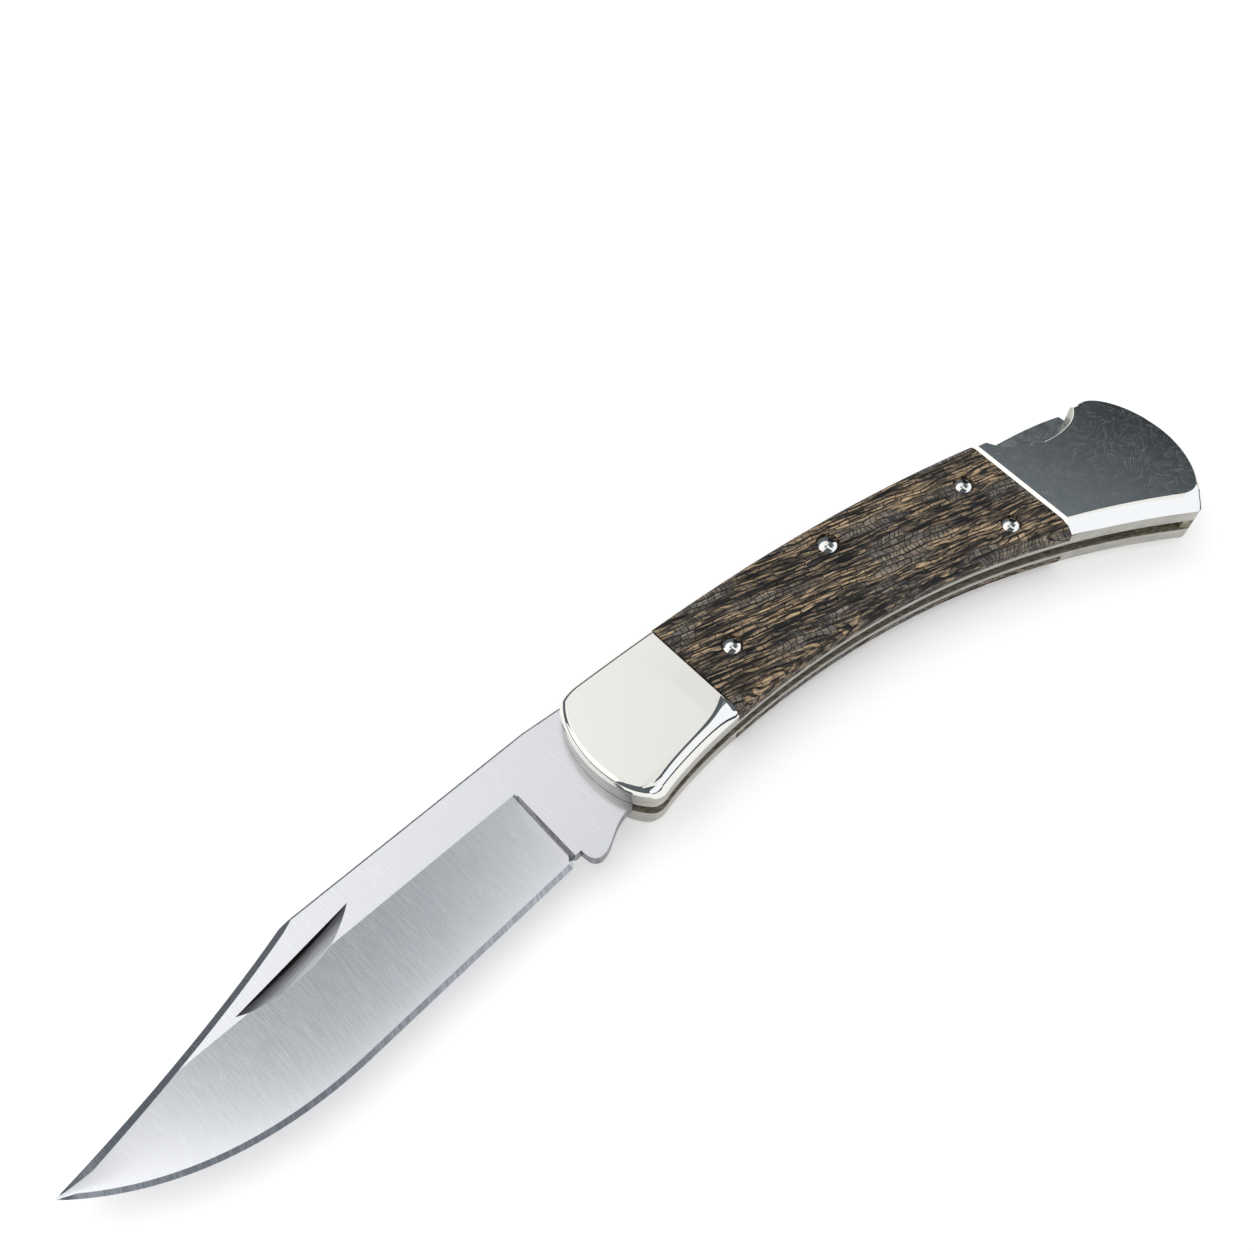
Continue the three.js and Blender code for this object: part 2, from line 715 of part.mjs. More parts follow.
// Through pin with a domed head on each side
function domedPin(place, radius) {
  const top = dome(radius, thickness);
  const bottom = dome(radius, thickness).map(({ x, y }) => vec(x, thickness - y)).reverse();
  return turned([...bottom, ...top], place);
}

// Short rivet with one domed head, flush with the inner face of its liner
function domedRivet(place, radius) {
  return turned([vec(0, slotTop), vec(radius, slotTop), ...dome(radius, thickness)], place);
}

// Plain pin between two levels
function plainPin(place, radius, bottom, top) {
  return turned([vec(0, bottom), vec(radius, bottom), vec(radius, top), vec(0, top)], place);
}

// The same geometry on the other half of the handle
function mirrored(geometry) {
  const copy = geometry.clone();
  copy.scale(1, 1, -1).translate(0, 0, thickness);
  const index = copy.getIndex().array;
  for (let i = 0; i < index.length; i += 3) [index[i], index[i + 1]] = [index[i + 1], index[i]];
  copy.computeVertexNormals();
  return copy;
}

const materials = {
  bladeSteel: new THREE.MeshStandardMaterial({ color: 0xb6b9c4, roughness: 0.32, metalness: 1 }),
  lockSteel: new THREE.MeshStandardMaterial({ color: 0xa9a8a4, roughness: 0.35, metalness: 1 }),
  springSteel: new THREE.MeshStandardMaterial({ color: 0x7f8790, roughness: 0.4, metalness: 1 }),
  nickelSilver: new THREE.MeshStandardMaterial({ color: 0xd9d7cf, roughness: 0.15, metalness: 1 }),
  darkWood: new THREE.MeshStandardMaterial({ color: 0x2c1f16, roughness: 0.45, metalness: 0 }),
};

const knife = new THREE.Group();

function addPiece(name, geometry, material) {
  const mesh = new THREE.Mesh(geometry, material);
  mesh.name = name;
  knife.add(mesh);
}

function addPair(name, geometry, material) {
  addPiece(`upper_${name}`, geometry, material);
  addPiece(`lower_${name}`, mirrored(geometry), material);
}

addPiece('blade', surface(blade()), materials.bladeSteel);
addPiece('lockbar', surface(lockbar()), materials.lockSteel);
addPiece('lock_spring', surface(lockSpring()), materials.springSteel);
addPiece('butt_spacer', surface(buttSpacer()), materials.nickelSilver);

addPair('liner', surface(liner()), materials.nickelSilver);
addPair('front_bolster', surface(frontBolster()), materials.nickelSilver);
addPair('rear_bolster', surface(rearBolster()), materials.nickelSilver);
addPair('scale', surface(scale()), materials.darkWood);
addPair('front_scale_rivet', domedRivet(frontRivet, rivetRadius), materials.nickelSilver);
addPair('rear_scale_rivet', domedRivet(rearRivet, rivetRadius), materials.nickelSilver);

const hiddenRivet = plainPin(bolsterRivet, bolsterRivetRadius, slotTop, blindEnd);
addPair('bolster_rivet', hiddenRivet, materials.nickelSilver);
const throughPin = (place, radius) => plainPin(place, radius, thickness - blindEnd, blindEnd);
addPiece('pivot_pin', throughPin(pivot, pivotRadius), materials.lockSteel);
addPiece('rocker_pin', domedPin(rocker, rockerRadius), materials.nickelSilver);
addPiece('spring_pin', domedPin(springPin, rivetRadius), materials.nickelSilver);
addPiece('spring_root_pin', throughPin(rootPin, hiddenPinRadius), materials.nickelSilver);
addPiece('spacer_pin', throughPin(spacerPin, hiddenPinRadius), materials.nickelSilver);

export default knife;
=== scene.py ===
import math

import bmesh
import bpy
import numpy as np
from bpy.props import FloatProperty, FloatVectorProperty, PointerProperty
from bpy.types import Operator, Panel, PropertyGroup
from mathutils import Matrix, Vector


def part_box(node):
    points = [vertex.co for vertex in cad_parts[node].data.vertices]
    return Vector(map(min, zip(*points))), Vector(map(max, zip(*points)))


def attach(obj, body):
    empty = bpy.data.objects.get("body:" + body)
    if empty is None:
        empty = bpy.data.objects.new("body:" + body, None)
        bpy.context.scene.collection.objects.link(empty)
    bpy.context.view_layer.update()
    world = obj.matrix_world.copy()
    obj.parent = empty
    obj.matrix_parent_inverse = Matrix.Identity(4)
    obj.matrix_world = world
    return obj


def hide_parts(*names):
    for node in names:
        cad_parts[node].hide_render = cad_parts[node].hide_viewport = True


bl_info = {
    "name": "Lock-Back Folding Knife",
    "version": (1, 0, 0),
    "blender": (4, 5, 0),
    "location": "View3D > Sidebar > Knife",
    "description": "Builds a lock-back hunting knife with bolsters and wooden scales, blade open",
    "category": "Object",
}

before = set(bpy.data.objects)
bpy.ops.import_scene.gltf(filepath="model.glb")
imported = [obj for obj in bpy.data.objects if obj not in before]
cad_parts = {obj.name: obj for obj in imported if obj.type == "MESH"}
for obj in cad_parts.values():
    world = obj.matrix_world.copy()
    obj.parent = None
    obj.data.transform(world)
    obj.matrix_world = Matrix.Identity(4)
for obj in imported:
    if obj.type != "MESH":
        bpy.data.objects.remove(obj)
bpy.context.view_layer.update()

# Levels through the thickness, taken from the frame
BLADE_BOTTOM, BLADE_TOP = (corner.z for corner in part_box("blade"))
MIDDLE = (BLADE_BOTTOM + BLADE_TOP) / 2
SLOT_TOP, LINER_TOP = (corner.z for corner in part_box("upper_liner"))
SCALE_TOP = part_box("upper_scale")[1].z
BOLSTER_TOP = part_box("upper_front_bolster")[1].z

# Corners of the handle's outline
SPINE_FRONT = (-0.0015, 0.01305)
FRONT_TOP = (-0.00495, 0.01235)
FRONT_BOTTOM = (-0.0056, -0.0096)
GUARD = (-0.003, -0.0106)
WAIST = (0.015, -0.0089)
TOE = (0.1063, -0.0368)
BUTT = (0.11565, -0.0185)
HORN = (0.10875, -0.0062)

# Places along the handle
FRONT_JOINT = 0.0151
REAR_JOINT = 0.0862
REAR_LEAN = math.radians(4)
NOTCH_START = 0.0883
NOTCH_BOTTOM = (0.10125, -0.0088)
NOTCH_END = 0.10835
BAR_END = 0.10845

# Corners and lines of the blade
TIP = (-0.1026, 0.004)
CLIP_START = (-0.0596, 0.0142)
BELLY_START = (-0.06, -0.0102)
HEEL = (-0.0209, -0.0086)
CHOIL = (-0.0195, -0.0076)
RICASSO_HEIGHT = 0.0141
GRIND_LINE = 0.0066
EDGE_THICKNESS = 0.0005
SWEDGE_THICKNESS = 0.0011
SWEDGE_START = 0.0022
SPINE_CHAMFER = 0.00036
CHAMFER_DROP = SPINE_CHAMFER * 0.6
PLUNGE_LENGTH = 0.0007

# The bevel around the handle is this many times as high as it is wide, up to a limit
EDGE_STEEPNESS = 1.2

# Levels below and above the whole handle, for cutters
UNDER, OVER = -0.005, 0.02

# Pins that show, with their places and radii
PINS = {
    "rocker_pin": ((0.0502, 0.0038), 0.002),
    "spring_pin": ((0.078, -0.0042), 0.0018),
    "front_scale_rivet": ((0.023, 0.0007), 0.0018),
    "rear_scale_rivet": ((0.0772, -0.0155), 0.0018),
}


def bezier(start, end, *pulls):
    """Controls of a curve; each pull is a pair of shares of the way along X and along Y."""
    start, end = np.array(start), np.array(end)
    return np.array([start, *(start + (end - start) * np.array(pull) for pull in pulls), end])


def along(controls, share):
    """Points of a Bezier curve at the given shares of its way."""
    degree = len(controls) - 1
    share = np.asarray(share, float)[:, None]
    return sum(
        math.comb(degree, k) * (1 - share) ** (degree - k) * share**k * point
        for k, point in enumerate(controls)
    )


def arc(centre, radius, start, end, steps, **more):
    """Points along part of a circle, between two angles."""
    angles = np.linspace(start, end, steps, **more)
    return [(centre[0] + radius * math.cos(a), centre[1] + radius * math.sin(a)) for a in angles]


def circle(centre, radius, steps):
    """Points all round a circle."""
    return arc(centre, radius, 0, 2 * math.pi, steps, endpoint=False)


def height_at(controls, x):
    """Height of a curve that runs one way in X."""
    points = along(controls, np.linspace(0, 1, 801))
    order = np.argsort(points[:, 0])
    return np.interp(x, points[order, 0], points[order, 1])


BELLY = bezier(WAIST, TOE, (0.352, 0), (0.689, 0.288))
LOWER_BUTT = bezier(TOE, BUTT, (0.557, 0.132), (1.045, 0.599))
UPPER_BUTT = bezier(BUTT, HORN, (-0.032, 0.426), (0.396, 1.05))
SPINE = bezier(HORN, SPINE_FRONT, (0.327, 0.639), (0.605, 0.918))
FRONT_CORNER = bezier(SPINE_FRONT, FRONT_TOP, (0.7, 0))
FRONT = np.array([FRONT_TOP, (-0.0102417, 0.00714785), (-0.0102417, -0.00505635), FRONT_BOTTOM])
GUARD_CORNER = bezier(FRONT_BOTTOM, GUARD, (0.27, 1.1))
WAIST_HOLLOW = bezier(GUARD, WAIST, (0.2, 0.55), (0.583, 1))
CLIP = bezier(CLIP_START, TIP, (0.474, 0.686))
CUTTING_EDGE = bezier(BELLY_START, TIP, (0.423, -0.056), (0.751, 0.331))

# Slope of the nail nick's straight side, and its front end
NICK_SLOPE = math.radians(7.6)
NICK_X = TIP[0] + 0.0311
NICK_START = (NICK_X, height_at(CLIP, NICK_X) - 0.0031)


def spine_at(x):
    """Height of the handle's spine."""
    return height_at(SPINE, x)


def back_at(x):
    """Height of the blade's back."""
    if x < CLIP_START[0]:
        return height_at(CLIP, x)
    return np.interp(x, (CLIP_START[0], 0), (CLIP_START[1], RICASSO_HEIGHT))


def edge_at(x):
    """Height of the cutting edge."""
    if x < BELLY_START[0]:
        return height_at(CUTTING_EDGE, x)
    return np.interp(x, (BELLY_START[0], HEEL[0]), (BELLY_START[1], HEEL[1]))


def handle_stretches(spine, front, guard, waist, joint, belly, toe, butt):
    """Curves of the outline, anticlockwise, each with its steps and the bevel width along it."""
    return [
        (BELLY, 170, (waist, belly, toe)),
        (LOWER_BUTT, 60, (toe, butt * 1.5, butt, butt)),
        (UPPER_BUTT, 50, (butt, butt, spine)),
        (SPINE, 170, (spine, spine, spine)),
        (FRONT_CORNER, 16, (spine, front, front)),
        (FRONT, 70, (front, front, front)),
        (GUARD_CORNER, 24, (front, guard, guard)),
        (WAIST_HOLLOW, 50, (guard, *[waist] * 7, joint)),
    ]


def crossing(first, second):
    """Where the end of one line crosses the start of the next, as two places and a point."""
    span = 150
    a, b = first[-span:-1], first[-span + 1 :]
    c, d = second[: span - 1], second[1:span]
    r, s = (b - a)[:, None], (d - c)[None]
    gap = c[None] - a[:, None]
    denominator = r[..., 0] * s[..., 1] - r[..., 1] * s[..., 0]
    denominator = np.where(np.abs(denominator) < 1e-18, np.inf, denominator)
    t = (gap[..., 0] * s[..., 1] - gap[..., 1] * s[..., 0]) / denominator
    u = (gap[..., 0] * r[..., 1] - gap[..., 1] * r[..., 0]) / denominator
    hits = np.argwhere((t >= 0) & (t <= 1) & (u >= 0) & (u <= 1))
    if len(hits):
        i, j = hits[0]
        place = len(first) - span + i + t[i, j]
        return place, j + u[i, j], a[i] + (b[i] - a[i]) * t[i, j]
    return len(first) - 1, 0, (first[-1] + second[0]) / 2


def round_corner(ring, corner, cut, span=9):
    """Rounds one corner of an outline over a distance to both sides, with as many points."""
    part = ring[corner - span : corner + span + 1]
    steps = np.linalg.norm(np.diff(part[:, :2], axis=0), axis=1)
    way = np.concatenate(([0], np.cumsum(steps)))
    middle = way[span]

    def spots(distances):
        return np.stack([np.interp(distances, way, column) for column in part.T], axis=1)

    ends = spots([middle - cut, middle + cut])
    arc = along(np.array([ends[0], part[span], ends[1]]), np.linspace(0, 1, span))
    before = spots(np.linspace(0, middle - cut, span // 2 + 2))[:-1]
    after = spots(np.linspace(middle + cut, way[-1], span // 2 + 2))[1:]
    ring[corner - span : corner + span + 1] = np.concatenate((before, arc, after))
    return ring


def outline_ring(stretches, share):
    """Points of the outline moved inwards by a share of the bevel, with the bevel's width."""
    rows = []
    places = np.linspace(0, 1, 401)
    for controls, _, widths in stretches:
        points = along(controls, places)
        slope = np.gradient(points, axis=0)
        slope /= np.linalg.norm(slope, axis=1)[:, None]
        inwards = np.stack((-slope[:, 1], slope[:, 0]), axis=1)
        width = along(np.array(widths)[:, None], places)
        rows.append(np.hstack((points + inwards * width * share, width)))
    joins = [crossing(row, rows[(k + 1) % len(rows)]) for k, row in enumerate(rows)]
    ring = []
    for k, (_, steps, _) in enumerate(stretches):
        start, end = joins[k - 1][1], joins[k][0]
        spots = np.linspace(start, end, steps, endpoint=False)
        index = np.arange(len(rows[k]))
        part = np.stack([np.interp(spots, index, column) for column in rows[k].T], axis=1)
        part[0] = joins[k - 1][2]
        ring.extend(part)
    toe, toe_cut = stretches[0][1], 0.0014 + 0.0014 * share
    guard = sum(steps for _, steps, _ in stretches[:6]) + stretches[6][1] // 2
    guard_cut, guard_span = 0.0003 + 0.0021 * share, 21
    ring = round_corner(np.array(ring), toe, toe_cut)
    return round_corner(ring, guard, guard_cut, guard_span)


HANDLE_OUTLINE = [(x, y) for x, y, _ in outline_ring(handle_stretches(*[0] * 8), 0)]


def new_piece(name, mesh):
    """An object of that mesh in the scene."""
    piece = bpy.data.objects.new(name, mesh)
    bpy.context.scene.collection.objects.link(piece)
    return piece


def skin(name, rings):
    """Solid over a row of closed rings of as many points each."""
    shape = bmesh.new()
    rows = [[shape.verts.new(point) for point in ring] for ring in rings]
    count = len(rows[0])
    for low, high in zip(rows, rows[1:]):
        for i in range(count):
            j = (i + 1) % count
            shape.faces.new((low[i], low[j], high[j], high[i]))
    shape.faces.new(rows[0])
    shape.faces.new(rows[-1])
    bmesh.ops.recalc_face_normals(shape, faces=shape.faces)
    mesh = bpy.data.meshes.new(name)
    shape.to_mesh(mesh)
    shape.free()
    return new_piece(name, mesh)


def slab(name, points, bottom, top):
    """Flat outline as a solid between two levels."""
    return skin(name, [[(x, y, z) for x, y in points] for z in (bottom, top)])


def trim(piece, place, outwards):
    """Takes off everything beyond a plane and closes the cut."""
    shape = bmesh.new()
    shape.from_mesh(piece.data)
    parts = shape.verts[:] + shape.edges[:] + shape.faces[:]
    cut = bmesh.ops.bisect_plane(
        shape, geom=parts, plane_co=place, plane_no=outwards, clear_outer=True
    )
    rim = [part for part in cut["geom_cut"] if isinstance(part, bmesh.types.BMEdge)]
    bmesh.ops.edgenet_fill(shape, edges=rim)
    bmesh.ops.recalc_face_normals(shape, faces=shape.faces)
    shape.to_mesh(piece.data)
    shape.free()


def settle(piece):
    """Makes the modifiers of a piece part of its mesh."""
    graph = bpy.context.evaluated_depsgraph_get()
    mesh = bpy.data.meshes.new_from_object(piece.evaluated_get(graph))
    piece.modifiers.clear()
    piece.data = mesh


def carve(piece, *cutters, operation="DIFFERENCE"):
    """Cuts other solids out of a piece, or joins it with them, and removes them."""
    for cutter in cutters:
        change = piece.modifiers.new("Cut", "BOOLEAN")
        change.object = cutter
        change.operation = operation
        change.solver = "EXACT"
        settle(piece)
        bpy.data.objects.remove(cutter)


def ease_edges(piece, width, angle=35):
    """Rounds the sharp corners of a piece by a hair, as buffing does."""
    bevel = piece.modifiers.new("Buffed edges", "BEVEL")
    bevel.width = width
    bevel.segments = 2
    bevel.limit_method = "ANGLE"
    bevel.angle_limit = math.radians(angle)
    bevel.harden_normals = True


def smooth(piece, angle):
    """Smooth faces with a crease at every edge that turns by more than an angle."""
    shape = bmesh.new()
    shape.from_mesh(piece.data)
    limit = math.radians(angle)
    for face in shape.faces:
        face.smooth = True
    for edge in shape.edges:
        edge.smooth = len(edge.link_faces) == 2 and edge.calc_face_angle(0) < limit
    shape.to_mesh(piece.data)
    shape.free()


def other_half(piece, name):
    """The same piece on the lower half of the handle."""
    copy = piece.copy()
    copy.name = name
    copy.data = piece.data.copy()
    copy.data.transform(Matrix.Translation((0, 0, 2 * MIDDLE)) @ Matrix.Diagonal((1, 1, -1, 1)))
    copy.data.flip_normals()
    bpy.context.scene.collection.objects.link(copy)
    return copy


def fit(piece, node, material, body="handle"):
    """Puts a finished piece in the place of its CAD node."""
    if not piece.data.materials:
        piece.data.materials.append(material)
    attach(piece, body)
    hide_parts(node)


def fit_pair(upper, node, material):
    """Fits a piece and the same piece on the lower half of the handle."""
    lower = other_half(upper, upper.name.replace("Upper", "Lower"))
    fit(upper, "upper_" + node, material)
    fit(lower, "lower_" + node, material)


def coat(node, material):
    """Gives its finish to a CAD node that stays as it is."""
    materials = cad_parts[node].data.materials
    materials.clear()
    materials.append(material)


class Finish:
    """A material being made, with short ways to add its nodes."""

    def __init__(self, name):
        self.material = bpy.data.materials.new(name)
        self.material.use_nodes = True
        self.tree = self.material.node_tree
        self.shader = self.tree.nodes["Principled BSDF"]

    def feed(self, socket, value):
        """Links a socket to the output of another node, or sets its value."""
        if isinstance(value, bpy.types.NodeSocket):
            self.tree.links.new(value, socket)
        else:
            socket.default_value = value

    def add(self, kind, inputs=None, **settings):
        """A new node, with its settings and what goes into its inputs."""
        node = self.tree.nodes.new("ShaderNode" + kind)
        for setting, value in settings.items():
            setattr(node, setting, value)
        for socket, value in (inputs or {}).items():
            self.feed(node.inputs[socket], value)
        return node

    def vector(self, operation, *values):
        node = self.add("VectorMath", dict(enumerate(values)), operation=operation)
        return node.outputs["Vector"]

    def place(self, scale=(1, 1, 1), turn=0):
        """Object coordinates turned about Z and stretched."""
        inputs = {"Vector": self.add("TexCoord").outputs["Object"], "Rotation": (0, 0, turn)}
        turned = self.add("Mapping", inputs, vector_type="POINT").outputs["Vector"]
        return self.vector("MULTIPLY", turned, scale)

    def noise(self, vector, scale=1, detail=2, roughness=0.5, output="Fac"):
        inputs = {"Vector": vector, "Scale": scale, "Detail": detail, "Roughness": roughness}
        return self.add("TexNoise", inputs).outputs[output]

    def math(self, operation, *values, clamp=False):
        """Arithmetic on two values, or on more in a row."""
        total = values[0]
        for value in values[1:]:
            node = self.add("Math", {0: total, 1: value}, operation=operation, use_clamp=clamp)
            total = node.outputs["Value"]
        return total

    def span(self, value, low, high, start=0.0, end=1.0):
        """A value between two limits spread smoothly over another span."""
        inputs = {"Value": value, "From Min": low, "From Max": high, "To Min": start, "To Max": end}
        return self.add("MapRange", inputs, interpolation_type="SMOOTHSTEP").outputs["Result"]

    def grit(self, value, start, end):
        """Most of the reach of a noise spread over another span."""
        return self.span(value, 0.3, 0.7, start, end)

    def ramp(self, value, *stops):
        """Colours along a value, each with its place."""
        node = self.add("ValToRGB", {"Fac": value})
        elements = node.color_ramp.elements
        while len(elements) < len(stops):
            elements.new(1)
        for element, (place, colour) in zip(elements, stops):
            element.position = place
            element.color = (*colour, 1)
        return node.outputs["Color"]

    def blend(self, share, first, second):
        """A share of the second colour mixed into the first."""
        node = self.add("Mix", {"Factor": share}, data_type="RGBA")
        colours = [socket for socket in node.inputs if socket.type == "RGBA"]
        self.feed(colours[0], first)
        self.feed(colours[1], second)
        return next(socket for socket in node.outputs if socket.type == "RGBA")

    def shaded(self, colour, shade):
        """A colour made lighter or darker by a value."""
        node = self.add("VectorMath", {0: colour, "Scale": shade}, operation="SCALE")
        return node.outputs["Vector"]

    def bump(self, height, distance, strength=1.0):
        """Normals that follow a height over the surface."""
        inputs = {"Height": height, "Distance": distance, "Strength": strength}
        return self.add("Bump", inputs).outputs["Normal"]

    def set(self, **values):
        """Feeds the shader's sockets, with _ for a space, and gives the material back."""
        for socket, value in values.items():
            self.feed(self.shader.inputs[socket.replace("_", " ")], value)
        return self.material

    def surface(self, shader):
        self.feed(self.tree.nodes["Material Output"].inputs["Surface"], shader)


def scratches(finish, patch, spacing, length, cover):
    """Fine straight scratches that lie another way in each patch, as a value from 0 to 1."""
    layers, fade = [], 0.06
    for turn in (0.0, 0.7, 1.6):
        patches = finish.place((1 / patch,) * 3, turn)
        cells = finish.add("TexVoronoi", {"Vector": patches, "Scale": 1})
        chance = finish.add("SeparateColor", {"Color": cells.outputs["Color"]}).outputs["Red"]
        inputs = {"Vector": finish.place(), "Angle": finish.math("MULTIPLY", chance, math.pi)}
        turned = finish.add("VectorRotate", inputs, rotation_type="Z_AXIS").outputs["Vector"]
        lines = finish.vector("MULTIPLY", turned, (1 / length, 1 / spacing, 1 / spacing))
        layers.append(finish.span(finish.noise(lines, detail=0), cover, cover + fade))
    return finish.math("MAXIMUM", *layers)


def nickel_silver(settings):
    """Mirror-polished nickel silver, with the faintest of polishing marks."""
    finish = Finish("Nickel silver")
    cloud = finish.noise(finish.place(), scale=220, detail=3)
    haze = 0.015
    return finish.set(
        Base_Color=(*settings.nickel_colour, 1),
        Metallic=1.0,
        Roughness=finish.grit(cloud, settings.polish - haze, settings.polish + haze),
    )


def scuffed_nickel(settings):
    """Polished nickel silver of the butt, where the palm has left hairline scratches."""
    finish = Finish("Scuffed nickel silver")
    hairlines = scratches(finish, patch=0.003, spacing=0.00016, length=0.0032, cover=0.66)
    return finish.set(
        Base_Color=(*settings.nickel_colour, 1),
        Metallic=1.0,
        Roughness=finish.math("ADD", settings.polish, finish.math("MULTIPLY", hairlines, 0.2)),
    )


def ground_nickel(settings):
    """Nickel silver of the side walls, ground flush along the handle and left satin, in a darker
    colour that paints the shade the walls reflect.
    """
    finish = Finish("Ground nickel silver")
    marks = finish.noise(finish.place((1 / 0.009, 1 / 0.009, 1 / 0.0002)), detail=3)
    cloud = finish.noise(finish.place(), scale=260, detail=3)
    shade = finish.math("MULTIPLY", finish.grit(marks, 0.86, 1.08), finish.grit(cloud, 0.88, 1.08))
    # Painted shade: the wall colour is about half as bright as the polished nickel silver
    return finish.set(
        Base_Color=finish.shaded(settings.shaded_wall_colour, shade),
        Metallic=1.0,
        Roughness=0.27,
        Normal=finish.bump(marks, 0.000004, 0.5),
    )


def slot_face(settings):
    """Ground inner face of a liner, coloured dark and khaki as painted shade in the slot and
    painted reflection of the wood.
    """
    finish = Finish("Slot face")
    mottle = finish.noise(finish.place((700, 2600, 2600), 0.5), detail=4)
    slot_reflection_khaki, slot_shade_khaki, slot_shade_dark = (0.5, 0.47, 0.38), (0.3, 0.27, 0.2), (0.13, 0.11, 0.075)
    # Painted shade and reflection: near-black where the mottle is low, khaki where it is high
    return finish.set(
        Base_Color=finish.ramp(mottle, (0.3, slot_shade_dark), (0.55, slot_shade_khaki), (0.75, slot_reflection_khaki)),
        Metallic=0.35,
        Roughness=finish.grit(mottle, 0.7, 0.5),
        Normal=finish.bump(mottle, 0.00003, 0.6),
    )


def bar_steel(settings, name="Lock steel", colour=None, roughness=0.2):
    """Fine-ground steel of the lock bar, scratched by use."""
    finish = Finish(name)
    hairlines = scratches(finish, patch=0.004, spacing=0.00012, length=0.003, cover=0.62)
    cloud = finish.noise(finish.place(), scale=300, detail=4)
    colour = colour or settings.lock_colour
    lighter = tuple(min(1, c * 1.3) for c in colour)
    return finish.set(
        Base_Color=finish.blend(hairlines, (*colour, 1), (*lighter, 1)),
        Metallic=1.0,
        Roughness=finish.grit(cloud, roughness - 0.04, roughness + 0.08),
        Normal=finish.bump(hairlines, 0.000002, 0.5),
    )


def blade_steel(settings):
    """Satin steel with brush lines that run across the blade in shallow arcs."""
    finish = Finish("Blade steel")
    spread = finish.add("SeparateXYZ", {"Vector": finish.place()}).outputs
    height = finish.math("ADD", spread["Y"], 0.004)
    bow = finish.math("MULTIPLY", height, height, 5.0)
    inputs = {"X": finish.math("ADD", spread["X"], bow), "Y": spread["Y"], "Z": spread["Z"]}
    bent = finish.add("CombineXYZ", inputs).outputs["Vector"]

    def lines(spacing, length, detail):
        stretched = finish.vector("MULTIPLY", bent, (1 / spacing, 1 / length, 1 / length))
        return finish.noise(stretched, detail=detail)

    fine = lines(0.00022, 0.004, 1)
    deep = finish.span(lines(0.0003, 0.003, 0), 0.67, 0.74, 0.0, 0.035)
    shade = finish.math("ADD", finish.grit(fine, 0.97, 1.005), deep)
    return finish.set(
        Base_Color=finish.shaded(settings.blade_colour, shade),
        Metallic=1.0,
        Roughness=finish.span(fine, 0.35, 0.65, settings.satin - 0.01, settings.satin + 0.01),
        Normal=finish.bump(fine, 0.0000012, 0.4),
    )


def nick_steel(settings):
    """Coarse cut of the grinding wheel in the nail nick, with painted shade that darkens it towards
    its straight upper side.
    """
    finish = Finish("Nick steel")
    marks = finish.noise(finish.place((1 / 0.006, 1 / 0.0002, 1 / 0.0002), -NICK_SLOPE), detail=3)
    spread = finish.add("SeparateXYZ", {"Vector": finish.place(turn=-NICK_SLOPE)}).outputs
    chord = NICK_START[1] * math.cos(NICK_SLOPE) - NICK_START[0] * math.sin(NICK_SLOPE)
    low, high, light, dark = chord - 0.0034, chord - 0.0003, 0.9, 0.13
    # Painted shade: the colour runs from light at the nick's low side to near-black at its straight
    # side
    depth = finish.span(spread["Y"], low, high, light, dark)
    shade = finish.math("MULTIPLY", depth, finish.grit(marks, 0.85, 1.15))
    return finish.set(
        Base_Color=finish.shaded(settings.blade_colour, shade),
        Metallic=1.0,
        Roughness=0.34,
        Normal=finish.bump(marks, 0.000004, 0.5),
    )


def shaded_side_steel(settings):
    """Steel of the blade's upright sides and of the plunge, with painted shade that makes it much
    darker than the blade.
    """
    finish = Finish("Shaded side steel")
    marks = finish.noise(finish.place((1 / 0.0003, 1 / 0.0003, 1 / 0.004)), detail=3)
    return finish.set(
        # Painted shade: a quarter to a third of the blade colour
        Base_Color=finish.shaded(settings.blade_colour, finish.grit(marks, 0.24, 0.38)),
        Metallic=1.0,
        Roughness=0.32,
    )


def honed_steel(settings):
    """Edge bevel, with coarser lines from the stone."""
    finish = Finish("Honed edge")
    stone = finish.noise(finish.place((1 / 0.00035, 1 / 0.004, 1 / 0.004), 0.35), detail=3)
    shade = finish.span(stone, 0.35, 0.7, 0.8, 1.1)
    return finish.set(
        Base_Color=finish.shaded(settings.edge_colour, shade),
        Metallic=1.0,
        Roughness=0.3,
        Normal=finish.bump(stone, 0.000006, 0.7),
    )


